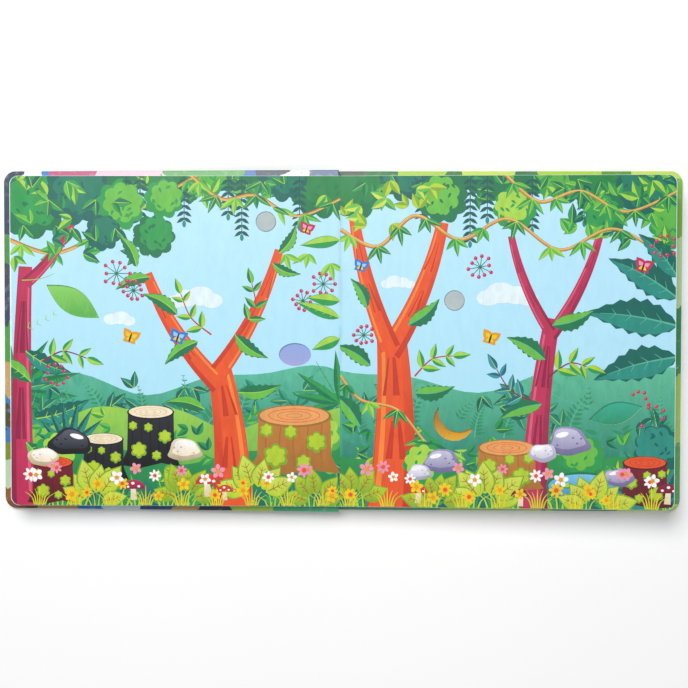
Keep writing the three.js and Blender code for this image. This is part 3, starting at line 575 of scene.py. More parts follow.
def value_ramp(tree, factor, low, high, to_low=0.0, to_high=1.0):
    links = {"Value": factor, "From Min": low, "From Max": high, "To Min": to_low, "To Max": to_high}
    return add_node(tree, "ShaderNodeMapRange", links)["Result"]


def mix(tree, factor, first, second, blend="MIX"):
    """Mixes two colours, each an output or an ink's code."""
    first, second = ((*linear(c), 1) if isinstance(c, str) else c for c in (first, second))
    links = {0: factor, 6: first, 7: second}
    return add_node(tree, "ShaderNodeMix", links, data_type="RGBA", blend_type=blend)[2]


def varnish(tree, shader):
    """The thin varnish on printed card: a fine grain in its height and its gloss."""
    tree.links.new(value_ramp(tree, noise(tree, 60), 0.35, 0.7, 0.34, 0.46), shader.inputs["Roughness"])
    bump(tree, shader, noise(tree, 2600), 0.06, 0.0001)


def brushed(tree, colour, strength=0.9):
    """Print colour with the soft streaks of a brush."""
    brush = noise(tree, 240, 4, (1, 0.35, 1), 0.3, 0.6, 0.6)
    shade = ramp(tree, value_ramp(tree, brush, 0.3, 0.7), [(0, "E8E8E8"), (1, WHITE)])
    return mix(tree, strength, colour, shade, "MULTIPLY")


def paling(tree, low, high, low_code, high_code):
    """One ink that runs into another between two heights on the page, in millimetres."""
    up = value_ramp(tree, axis(tree, "Object", "Y"), low * MM, high * MM)
    return ramp(tree, up, [(0, low_code), (1, high_code)])


def ink_material():
    material, tree, shader = finish_material("page_ink", 0.4, specular=0.28)
    colour = add_node(tree, "ShaderNodeAttribute", attribute_name="ink")["Color"]
    paint(tree, shader, brushed(tree, colour))
    varnish(tree, shader)
    return material


def hill_material(name, low, high, low_code, high_code, fleck_code):
    """A printed hill: it pales upwards and has soft brushed flecks."""
    material, tree, shader = finish_material(name, 0.4, specular=0.28)
    flecks = value_ramp(tree, noise(tree, 130, 3, (1, 0.5, 1), 0.4, 0.6, 0.8), 0.56, 0.64, 0, 0.55)
    covered = mix(tree, flecks, paling(tree, low, high, low_code, high_code), fleck_code)
    paint(tree, shader, brushed(tree, covered))
    varnish(tree, shader)
    return material


def card_material(name):
    """White card: printed sky on the faces that look up or down, bare layered fibre on the cut edges."""
    material, tree, shader = finish_material(name, 0.45, specular=0.28)
    facing = math_node(tree, "ABSOLUTE", axis(tree, "Normal", "Z"))
    out = math_node(tree, "ABSOLUTE", axis(tree, "Object", "X"))
    up = math_node(tree, "ABSOLUTE", axis(tree, "Object", "Y"))
    sky = brushed(tree, paling(tree, -HALF_HEIGHT, HALF_HEIGHT, SKY_LOW, SKY), 0.3)
    layers = noise(tree, 3, 2, (3, 3, 900))
    speck = noise(tree, 900, 2, (1, 1, 4))
    edge = ramp(tree, layers, [(0.3, "D9D5CB"), (0.5, "F1EEE6"), (0.7, "FBF9F4")])
    edge = mix(tree, value_ramp(tree, speck, 0.62, 0.72, 0, 0.35), edge, "C9C2B4")
    printed = math_node(tree, "GREATER_THAN", facing, 0.9)
    rim_out = math_node(tree, "GREATER_THAN", out, (PAGE_WIDTH - 0.35) * MM)
    rim_up = math_node(tree, "GREATER_THAN", up, (HALF_HEIGHT - 0.2) * MM)
    rim = math_node(tree, "MAXIMUM", rim_out, rim_up)
    worn = math_node(tree, "MULTIPLY", rim, value_ramp(tree, noise(tree, 500, 3), 0.35, 0.55, 0.35, 0.9))
    colour = mix(tree, printed, edge, mix(tree, worn, sky, "FAF8F2"))
    paint(tree, shader, colour, value_ramp(tree, printed, 0, 1, 0.85, 0.4))
    bump(tree, shader, mix(tree, printed, speck, noise(tree, 2600)), 0.12, 0.0002)
    return material


def cover_material(name, side_stops, head_stops, foot_stops, picture_stops):
    """The printed wrap: its turned-in edge inside, and broad leafy fields outside."""
    material, tree, shader = finish_material(name, 0.34, coat=0.25)
    out = math_node(tree, "ABSOLUTE", axis(tree, "Object", "X"))
    up = axis(tree, "Object", "Y")
    wobble = value_ramp(tree, noise(tree, 90), 0.3, 0.7, -0.006, 0.006)
    along = math_node(tree, "ADD", up, wobble)
    along = value_ramp(tree, along, -COVER_HALF_HEIGHT * MM, COVER_HALF_HEIGHT * MM)
    across = value_ramp(tree, math_node(tree, "ADD", out, wobble), 0.0, COVER_WIDTH * MM)
    side = ramp(tree, along, side_stops, True)
    head = ramp(tree, across, head_stops, True)
    foot = ramp(tree, across, foot_stops, True)
    at_head = math_node(tree, "GREATER_THAN", up, STRIP_START * MM)
    at_foot = math_node(tree, "LESS_THAN", up, -STRIP_START * MM)
    inside_face = mix(tree, at_foot, mix(tree, at_head, side, head), foot)
    bent = add_node(tree, "ShaderNodeTexNoise", {"Vector": object_coords(tree), "Scale": 18, "Detail": 1})
    swayed = mix(tree, 0.018, object_coords(tree, (1, 0.42, 1), 0.7), bent["Color"])
    leaf = {"Vector": swayed, "Scale": 78}
    tint = add_node(tree, "ShaderNodeTexVoronoi", leaf)["Color"]
    picture = ramp(tree, add_node(tree, "ShaderNodeSeparateXYZ", {0: tint})["X"], picture_stops, True)
    rim = add_node(tree, "ShaderNodeTexVoronoi", leaf, feature="DISTANCE_TO_EDGE")["Distance"]
    picture = mix(tree, value_ramp(tree, rim, 0.0, 0.3, 0.45, 0.0), picture, "0F5B3C")
    veins = noise(tree, 160, 2, (1, 0.1, 1), 0.7)
    picture = mix(tree, value_ramp(tree, veins, 0.55, 0.66, 0, 0.3), picture, "E3F2B8")
    outside = math_node(tree, "LESS_THAN", axis(tree, "Normal", "Z"), -0.5)
    wrap = mix(tree, outside, inside_face, picture)
    paint(tree, shader, mix(tree, value_ramp(tree, noise(tree, 300, 3), 0.55, 0.7, 0, 0.1), wrap, WHITE))
    bump(tree, shader, noise(tree, 1800), 0.08, 0.0001)
    return material


def plastic_material(name, code, roughness, grain=1500):
    """Moulded plastic with a spark-eroded grain."""
    material, tree, shader = finish_material(name, roughness)
    colour = mix(tree, value_ramp(tree, noise(tree, grain), 0.4, 0.7, 0.0, 0.08), code, "808080")
    gloss = value_ramp(tree, noise(tree, 200), 0.3, 0.7, roughness - 0.06, roughness + 0.06)
    paint(tree, shader, colour, gloss)
    bump(tree, shader, noise(tree, grain, 3), 0.15, 0.00008)
    return material


def metal_material(name, code, roughness):
    """Rolled sheet metal with fine drawn lines."""
    material, tree, shader = finish_material(name, roughness, metallic=1.0)
    lines = noise(tree, 900, 3, (1, 12, 1))
    colour = mix(tree, value_ramp(tree, lines, 0.35, 0.7, 0, 0.3), code, "8C9196")
    paint(tree, shader, colour, value_ramp(tree, lines, 0.3, 0.7, roughness - 0.08, roughness + 0.1))
    bump(tree, shader, lines, 0.06, 0.00005)
    return material


def pad_material():
    """Grey press pad film with fine dimples."""
    material, tree, shader = finish_material("press_pad_film", 0.5)
    dimples = cells(tree, 1500)
    tone = ramp(tree, value_ramp(tree, noise(tree, 160, 3), 0.3, 0.7), [(0, "A6B3B4"), (1, "B6C2C3")])
    paint(tree, shader, mix(tree, value_ramp(tree, dimples, 0.2, 0.6, 0, 0.12), tone, "9AA7A9"))
    bump(tree, shader, dimples, 0.1, 0.0001)
    return material


def foam_material():
    material, tree, shader = finish_material("white_foam", 0.9)
    pores = cells(tree, 2400)
    paint(tree, shader, ramp(tree, pores, [(0.1, "F5F3EC"), (0.5, "ECE9E0"), (0.8, "DAD6CB")]))
    bump(tree, shader, pores, 0.35, 0.0004)
    return material


def circuit_material():
    material, tree, shader = finish_material("circuit_board", 0.35)
    bricks = {"Vector": object_coords(tree), "Scale": 160, "Mortar Size": 0.06}
    tracks = add_node(tree, "ShaderNodeTexBrick", bricks)["Fac"]
    cloth = ramp(tree, noise(tree, 1200), [(0.3, "16532D"), (0.7, "237A42")])
    paint(tree, shader, mix(tree, value_ramp(tree, tracks, 0, 1, 0, 0.45), cloth, "5FB56B"))
    bump(tree, shader, tracks, 0.2, 0.0001)
    return material


def foil_material():
    """Amber film with printed silver tracks."""
    material, tree, shader = finish_material("touch_film", 0.35)
    waves = {"Vector": object_coords(tree), "Scale": 320, "Distortion": 0}
    tracks = add_node(tree, "ShaderNodeTexWave", waves, bands_direction="Y")["Fac"]
    paint(tree, shader, ramp(tree, tracks, [(0.45, "C9B26A"), (0.55, "8E8C84")]))
    bump(tree, shader, tracks, 0.1, 0.00005)
    return material


# Motifs of the print


def two_tone_leaf(page, x, y, turn, length, width, dark, light, bend=0, vein=LEAF_PALE, teeth=0):
    page.ink(blade(x, y, turn, length, width, bend, 14 if teeth else 9, "whole", teeth), dark)
    page.ink(blade(x, y, turn, length * 0.98, width * 0.92, bend, 9, "left"), light)
    rib = spun([(length * i / 6, bend * math.sin(math.pi * i / 6)) for i in range(6)], x, y, turn)
    if length > 9:
        page.ink(ribbon(rib, max(0.5, length / 45), 0.2), vein)
    if length > 26:
        for i in range(1, 5):
            for way in (-1, 1):
                tip = away(rib[i], turn + way * 48, width * 0.3 * (1 - 0.1 * i))
                page.ink(ribbon([rib[i], tip], 0.5, 0.2), vein)


def sprig(page, line, length, width, dark, light, stem):
    """A stalk with three pairs of leaves along it and one at its tip."""
    line = smooth(line)
    page.ink(ribbon(line, 1.0, 0.5), stem)
    for i in range(3):
        at = int((i + 1) * (len(line) - 2) / 3.4)
        x, y = line[at]
        bx, by = line[at + 1]
        heading = math.degrees(math.atan2(by - y, bx - x))
        size = 1 - 0.35 * i / 3
        for way in (-1, 1):
            two_tone_leaf(page, x, y, heading + way * 52, length * size, width * size, dark, light)
    x, y = line[-1]
    ax, ay = line[-3]
    two_tone_leaf(page, x, y, math.degrees(math.atan2(y - ay, x - ax)), length, width, dark, light)


def hanging_frond(page, x, drop, pairs):
    page.ink(ribbon([(x, FROND_TOP), (x, FROND_TOP - drop)], 0.7, 0.4), PINE)
    for i in range(pairs):
        y = FROND_TOP - drop * (i + 0.5) / pairs
        for turn in (-35, 215):
            page.ink(blade(x, y, turn, 5.4, 2.3, steps=6), PINE)
    page.ink(ellipse(x, FROND_TOP - drop - 1.8, 1.1, 2.0, steps=12), TEAL)


def vine(page, points, width, leaves, seed):
    line = smooth(points, 12)
    page.ink(ribbon(line, width, width * 0.7), TAN_DARK)
    page.ink(ribbon(line, width * 0.72, width * 0.5, 0.12), TAN)
    page.ink(ribbon(line, width * 0.22, width * 0.15, 0.9), TAN_LIGHT)
    random.seed(seed)
    for i in range(leaves):
        x, y = line[int((i + 0.6) * (len(line) - 1) / leaves)]
        down = -90 + random.uniform(-25, 25)
        tones = random.choice([(LEAF_MID, LEAF_LIGHT), (LEAF_DARK, LEAF_MID), (LEAF_LIGHT, LEAF_PALE)])
        for spread in (-48, 0, 48):
            two_tone_leaf(page, x, y, down + spread, random.uniform(8, 12), 3.6, *tones)


def limb(page, x0, y0, width0, x1, y1, width1, bend, dark, base, light):
    """A trunk or limb with its shaded side, its lit side and lines of bark."""
    line = limb_line(x0, y0, x1, y1, bend, 14)
    page.ink(ribbon(line, width0, width1), dark, base)
    page.ink(ribbon(line, width0 * 0.72, width1 * 0.72, 0.16), base)
    page.ink(ribbon(line[1:-1], width0 * 0.12, width1 * 0.12, 2.6), light)
    reach = math.hypot(x1 - x0, y1 - y0)
    for i in range(int(reach / 14)):
        k = 1 + (5 * i + 3) % (len(line) - 5)
        shift = ((i * 37) % 7 - 3) * 1.05
        page.ink(ribbon(line[k : k + 4], width0 * 0.07, width1 * 0.05, shift), dark)


def berries(page, x, y, radius, turn):
    for i in range(10):
        bx, by = away((x, y), turn + 36 * i, radius * (0.75 + 0.25 * ((i * 3) % 4) / 3))
        page.ink(ribbon([(x, y), (bx, by)], 0.45, 0.35), LEAF_DARK)
        page.ink(ellipse(bx, by, 1.15, 1.15, steps=10), MAGENTA)
        page.ink(ellipse(bx - 0.35, by + 0.35, 0.35, 0.35, steps=6), PINK)


def grass(page, x, y, height, dark, light, seed):
    random.seed(seed)
    for i in range(7):
        lean = (i / 6 - 0.5) * 2
        tall = height * (1 - 0.35 * abs(lean)) * random.uniform(0.85, 1.1)
        foot = x + lean * height * 0.28
        tip = x + lean * height * 0.8
        middle = (foot * 0.7 + tip * 0.3, y + tall * 0.6)
        line = smooth([(foot, y), middle, (tip, y + tall)], 4)
        page.ink(ribbon(line, height * 0.09, 0.15), dark if i % 2 else light)


def round_leaf_plant(page, x, y, scale, count, seed, dark, light):
    """A low plant of broad round leaves with brown veins."""
    random.seed(seed)
    for i in range(count):
        angle = 20 + 140 * i / max(count - 1, 1) + random.uniform(-8, 8)
        reach = scale * random.uniform(0.75, 1.1)
        px, py = away((x, y), angle, reach * 0.35)
        page.ink(blade(px, py, angle, reach, reach * 0.72, steps=10), LIME_DARK)
        page.ink(blade(px, py, angle, reach * 0.95, reach * 0.62, steps=10), dark, light)
        rib = spun([(reach * 0.08 * k, 0) for k in range(1, 10)], px, py, angle)
        page.ink(ribbon(rib, 0.7, 0.25), TAN_DARK)
        for k in (2, 4, 6):
            for way in (-1, 1):
                page.ink(ribbon([rib[k], away(rib[k], angle + way * 50, reach * 0.17)], 0.5, 0.25), TAN_DARK)


def toadstool(page, x, y, size, cap, cap_light):
    page.ink(ribbon([(x, y), (x + size * 0.04, y + size * 0.55)], size * 0.3, size * 0.22), "E9D8B6", CREAM)
    angles = [math.pi * i / 14 for i in range(15)]
    dome = [(x + size * 0.5 * math.cos(a), y + size * 0.5 + size * 0.42 * math.sin(a)) for a in angles]
    page.ink(dome, cap, cap_light)
    for dx, dy, r in ((-0.22, 0.62, 0.07), (0.05, 0.76, 0.08), (0.27, 0.6, 0.06)):
        page.ink(ellipse(x + size * dx, y + size * dy, size * r, size * r * 0.8, steps=12), WHITE)


def butterfly(page, x, y, size, wing, wing_light, turn):
    for way in (-1, 1):
        page.ink(blade(x, y, turn + 90 - way * 48, size, size * 0.85, steps=9), wing)
        page.ink(blade(x, y, turn + 90 - way * 48, size * 0.66, size * 0.45, steps=7), wing_light)
        page.ink(blade(x, y, turn + 90 - way * 125, size * 0.68, size * 0.6, steps=8), wing)
        page.ink(blade(x, y, turn + 90 - way * 125, size * 0.4, size * 0.3, steps=6), YELLOW)
    page.ink(ellipse(x, y, size * 0.08, size * 0.42, turn, 12), CHARCOAL)


def cloud(page, x, y, size):
    for dx, dy, r in ((-0.7, 0, 0.42), (-0.25, 0.18, 0.55), (0.3, 0.1, 0.48), (0.75, -0.04, 0.36)):
        page.ink(ellipse(x + size * dx, y + size * dy, size * r, size * r * 0.7), CLOUD)


def stump(page, x, y, width, height, bark, bark_light, wood, rings):
    """A cut tree stump with its rings on top and moss on its bark."""
    half = width / 2
    side = [(-1.25, 0), (-0.45, 0.06), (0.4, -0.03), (1.28, 0.02), (1, 0.3), (0.96, 1), (-0.97, 1), (-1, 0.3)]
    page.ink([(x + half * u, y + height * v) for u, v in side], bark, bark_light)
    for i in range(5):
        at = x + half * (-0.75 + 0.37 * i)
        line = [(at, y + height * 0.12), (at + half * 0.04, y + height * 0.5), (at, y + height * 0.86)]
        page.ink(ribbon(smooth(line, 4), width * 0.035, width * 0.012), bark)
    page.ink(ellipse(x, y + height, half, half * 0.3, steps=30), bark)
    top = y + height * 1.01
    page.ink(ellipse(x, top, half * 0.93, half * 0.26, steps=30), wood)
    for i in range(3):
        reach = half * (0.7 - 0.24 * i)
        page.ink(ellipse(x, top, reach, reach * 0.27, steps=24), rings)
        page.ink(ellipse(x, top, reach - 0.5, (reach - 0.5) * 0.25, steps=24), wood)
    for dx, dy, r in MOSS:
        page.ink(clump(x + dx * half, y + dy * height, r * half, 6, 0.25), LIME_DARK)
        page.ink(clump(x + dx * half, y + dy * height + 0.4, r * half * 0.78, 6, 0.25), LIME)


def boulder(page, x, y, width, height, dark, tone, light):
    """A rounded stone with a lit top and a few pale flecks."""
    outline = []
    lit = []
    for i in range(26):
        angle = math.tau * i / 26
        reach = 1 + 0.07 * math.sin(3 * angle + x) + 0.05 * math.sin(5 * angle + y)
        up = math.sin(angle)
        px = x + width / 2 * reach * math.cos(angle)
        py = y + height / 2 * reach * up * (1 if up > 0 else 0.55)
        outline.append((px, py))
        lit.append((x + (px - x) * 0.8 - width * 0.03, y + height * 0.09 + (py - y) * 0.72))
    page.ink(outline, dark, tone)
    page.ink(lit, tone, light)
    page.ink(ellipse(x - width * 0.16, y + height * 0.28, width * 0.16, height * 0.07, 14, 16), WHITE)
    for dx, dy in ((0.2, 0.05), (0.1, 0.2), (-0.28, 0.0), (0.3, 0.18)):
        page.ink(ellipse(x + dx * width, y + dy * height, width * 0.03, height * 0.025, 20, 8), dark)


def pond(page, x, y, width, height):
    """Water with round floating leaves and one flower."""
    page.ink(ellipse(x, y, width / 2, height / 2, 0, 34), LEAF_DARK)
    page.ink(ellipse(x, y, width * 0.47, height * 0.42, 0, 34), "2E8FC4", "7CCBEF")
    for dx, dy, r in ((-0.22, 0.02, 0.1), (0.12, -0.1, 0.12), (0.26, 0.12, 0.08)):
        px, py = x + dx * width, y + dy * height
        page.ink(ellipse(px, py, width * r, height * r, 0, 18), LEAF_MID)
        page.ink(ellipse(px, py + 0.3, width * r * 0.8, height * r * 0.7, 0, 18), LIME)
    px, py, radius = x + 0.12 * width, y - 0.08 * height, height * 0.16
    for i in range(7):
        page.ink(blade(px, py, 360 * i / 7, radius, radius * 0.8, steps=7), PINK)
    page.ink(ellipse(px, py, radius * 0.26, radius * 0.26, steps=12), YELLOW)


def fern(page, x, y, turn, length, colour, rib):
    line = spun([(length * i / 10, 0.1 * length * math.sin(math.pi * i / 11)) for i in range(11)], x, y, turn)
    for i in range(1, 11):
        reach = length * 0.3 * (1.05 - i / 11)
        for way in (-1, 1):
            page.ink(blade(*line[i], turn + way * 62, reach, reach * 0.36, steps=5), colour)
    page.ink(ribbon(line, 0.8, 0.3), rib)


def palm(page, x, y, turn, length, count, dark, light):
    """A fan of narrow leaves."""
    for i in range(count):
        spread = (i / (count - 1) - 0.5) * 150
        reach = length * (1 - 0.25 * abs(spread) / 75)
        two_tone_leaf(page, x, y, turn + spread, reach, length * 0.17, dark, light, vein=light)


def big_leaves(page, rows, breadth, bend, vein):
    """Toothed leaves, teal where they are long and green where they are short."""
    for x, y, turn, length in rows:
        tones = (TEAL_DARK, TEAL) if length > 29 else (LEAF_DARK, LEAF_LIGHT)
        two_tone_leaf(page, x, y, turn, length, length * breadth, *tones, bend, vein, BIG_LEAF_TEETH)


def scatter(page, seed, count, left, foot, right, head, size, tones):
    """Loose leaves in pairs over a part of the page."""
    random.seed(seed)
    for _ in range(count):
        x, y = random.uniform(left, right), random.uniform(foot, head)
        turn = random.uniform(0, 360)
        dark, light = random.choice(tones)
        for spread in (-28, 28):
            length = size * random.uniform(0.8, 1.2)
            two_tone_leaf(page, x, y, turn + spread, length, length * 0.5, dark, light)


def crowns(page, places, tones, seed):
    """Tree crowns of overlapping clumps with small lit leaves."""
    for i, (x, y, radius) in enumerate(places):
        dark, light = tones[i % len(tones)]
        turn = seed + i
        page.ink(clump(x, y, radius, 9, 0.16, 13 * turn), dark)
        page.ink(clump(x - radius * 0.12, y + radius * 0.12, radius * 0.8, 8, 0.16, 29 * turn), light)
        random.seed(turn)
        for _ in range(int(radius * 0.8)):
            angle = random.uniform(0, math.tau)
            reach = radius * 0.72 * math.sqrt(random.random())
            lx, ly = x + reach * math.cos(angle), y + reach * math.sin(angle)
            page.ink(blade(lx, ly, random.uniform(200, 340), 3.6, 1.7, steps=6), dark)


def each(motif, page, rows, *shared):
    """One motif for every row of values, followed by the values that all rows share."""
    for row in rows:
        motif(page, *row, *shared)


# The two printed pages


def bleed(page, hill):
    """Carries the hill over the fold and out to the page's edge."""
    inner = SKIN_GUTTER + 0.05
    outer = PAGE_WIDTH - SKIN_EDGE - 0.05
    fold, edge = (
        [(left, -HALF_HEIGHT), (right, -HALF_HEIGHT), (right, HALF_HEIGHT), (left, HALF_HEIGHT)]
        for left, right in ((PRINT_GUTTER, inner), (outer, PAGE_WIDTH))
    )
    page.ink(fold, SKY_LOW, SKY)
    for window in (fold, edge):
        page.ink(clip(hill, window), HILL_LOW, HILL_HIGH)


def ground(page, meadow, back, seed):
    """Grassy swells, leafy growth on them, then a dark border along the foot of the page."""
    base = meadow[0]
    random.seed(seed + 3)
    for i in range(11):
        foot = 8 + 18 * i + random.uniform(-5, 5)
        lean = 90 + random.uniform(-35, 35)
        fern(page, foot, base - 6, lean, random.uniform(20, 30), "2F9468", TEAL_LIGHT)
    far_tones = [(HILL_LOW, "35A07A"), (TEAL_DARK, TEAL)]
    scatter(page, seed + 4, 26, 0, base, PAGE_WIDTH, base + 20, 10, far_tones)
    page.ink(swell(*meadow), "3E9E48", "9BD253")
    scatter(page, seed + 1, 60, 0, -92, PAGE_WIDTH, base + 2, 8, GREENS)
    page.ink(swell(*back), LEAF_DARK, "2F9A50")
    scatter(page, seed + 2, 40, 0, -96, PAGE_WIDTH, back[0], 8, GREENS + LIMES)
    random.seed(seed)
    for i in range(14):
        x = 5 + 14 * i + random.uniform(-4, 4)
        page.ink(clump(x, -97 + random.uniform(0, 5), random.uniform(9, 14), 9, 0.2), TEAL_DARK, "1F8068")
    for i in range(12):
        lean = 90 + random.uniform(-30, 30)
        fern(page, 8 + 16.5 * i, -98, lean, random.uniform(15, 24), "43A34C", LEAF_PALE)
    for i in range(16):
        x = 4 + 12.6 * i + random.uniform(-3, 3)
        grass(page, x, -98, random.uniform(10, 16), LEAF_MID, LIME, seed + i)


def canopy(page, places, seed):
    """Dark growth along the head of the page, then its crowns."""
    random.seed(seed)
    for i in range(18):
        x = 11.5 * i + random.uniform(-3, 3)
        page.ink(clump(x, 98 + random.uniform(-3, 3), random.uniform(9, 14), 8, 0.2), LEAF_DARK)
    crowns(page, places, ((LEAF_DARK, "27884A"), (TEAL_DARK, "1F7F66"), (LEAF_MID, "5DB548")), seed)
    scatter(page, seed + 1, 26, 0, 84, PAGE_WIDTH, 97, 9, GREENS)


def left_print(page):
    bleed(page, swell(-22, 7, 26, 0.4))
    each(cloud, page, ((86, 24, 15), (132, 12, 10)))
    canopy(page, ((12, 90, 18), (34, 97, 15), (78, 98, 13), (106, 96, 13)), 3)
    fronds = ((58, 34, 9), (66, 22, 6), (24, 28, 7), (92, 26, 7), (118, 34, 9), (126, 20, 5))
    each(hanging_frond, page, fronds)
    vine(page, [(196, 60), (168, 52), (138, 66), (108, 84), (84, 98)], 2.4, 6, 11)
    vine(page, [(88, 98), (70, 84), (50, 86), (26, 74), (0, 84)], 2.2, 7, 12)
    vine(page, [(0, 40), (14, 52), (30, 50), (44, 64), (40, 82), (50, 98)], 2.0, 6, 13)
    palm(page, 196, -30, 165, 44, 9, LEAF_DARK, LEAF_MID)
    ground(page, (-44, 6, 20, 1.7), (-66, 5, 24, 0.9), 21)
    limbs = ((64, -99, 24, 72, -14, 14, 6), (71, -26, 12, 114, 40, 6, -9), (72, -18, 11, 36, 54, 5, 8))
    each(limb, page, limbs, *ORANGE_BARK)
    each(limb, page, ((188, -99, 15, 186, 44, 8, -3), (186, 34, 7, 158, 70, 4, 5)), *MAGENTA_BARK)
    places = ((182, 82, 22), (156, 88, 20), (130, 80, 15), (110, 62, 13), (140, 64, 11), (104, 84, 12))
    crowns(page, places, ((LEAF_DARK, LEAF_MID), (TEAL_DARK, "1F7F66"), (LEAF_MID, LEAF_LIGHT)), 31)
    scatter(page, 41, 26, 112, 48, 196, 97, 10, GREENS)
    leaves = (
        (190, 6, 150, 34), (186, -6, 205, 30), (188, 36, 165, 24), (183, -24, 30, 28), (180, -46, 160, 34),
        (186, -60, 215, 28), (120, 44, 60, 22), (112, 38, -20, 22), (36, 52, 120, 20), (40, 46, 200, 18),
        (96, 16, 30, 24), (84, 0, -35, 24), (62, 4, 215, 24), (60, -30, 170, 26), (80, -40, 10, 24),
    )
    big_leaves(page, leaves, 0.38, 2, LEAF_PALE)
    sprig(page, [(176, -12), (164, -6), (150, -10)], 11, 4.6, LEAF_MID, LEAF_PALE, MAGENTA_DARK)
    sprig(page, [(76, 4), (88, 14), (94, 28)], 10, 4.4, LEAF_MID, LIME, ORANGE_DARK)
    sprig(page, [(58, 8), (50, 20), (52, 34)], 10, 4.4, LEAF_DARK, LEAF_LIGHT, ORANGE_DARK)
    places = ((132, 40, 8, 0), (122, 30, 6, 30), (168, -20, 7, 12), (10, 34, 7, 0), (22, 24, 6, 45))
    each(berries, page, places)
    leaves = ((0, 14, 20, 28), (0, 24, 6, 20), (0, 60, -8, 24), (0, 2, -22, 18))
    each(two_tone_leaf, page, leaves, 8, LEAF_MID, LEAF_PALE)
    palm(page, 0, -36, 60, 34, 7, LEAF_DARK, LEAF_MID)
    palm(page, 160, -64, 100, 30, 9, PINE, TEAL)
    tones = (("58B24A", LEAF_PALE), (LEAF_MID, LEAF_LIGHT), (LEAF_MID, LEAF_PALE))
    crowns(page, ((14, -56, 15), (36, -58, 12), (168, -66, 13)), tones, 51)
    stump(page, 27, -78, 44, 34, *TAN_STUMP)
    each(stump, page, ((112, -74, 28, 32), (140, -82, 24, 24)), *BLACK_STUMP)
    stump(page, 170, -96, 24, 24, *RED_STUMP)
    boulder(page, 160, -62, 26, 20, *BLACK_STONE)
    each(boulder, page, ((176, -70, 18, 14), (92, -66, 20, 17)), *CREAM_STONE)
    each(round_leaf_plant, page, ((50, -92, 20, 6, 61), (146, -96, 19, 6, 62)), *BRIGHT_LIME)
    each(round_leaf_plant, page, ((92, -94, 17, 6, 63), (14, -96, 15, 5, 64)), *DEEP_LIME)
    each(toadstool, page, ((78, -92, 15), (68, -94, 10)), ORANGE_DARK, RED)
    toadstool(page, 122, -94, 13, MAGENTA_DARK, MAGENTA)
    wings = ((96, 2, 7, BLUE, BLUE_PALE), (20, 66, 6, MAGENTA, PINK), (124, 2, 7, AMBER, YELLOW))
    each(butterfly, page, wings, 18)
    each(grass, page, ((10 + 21 * i, -97, 11, YELLOW, LIME, 80 + i) for i in range(9)))


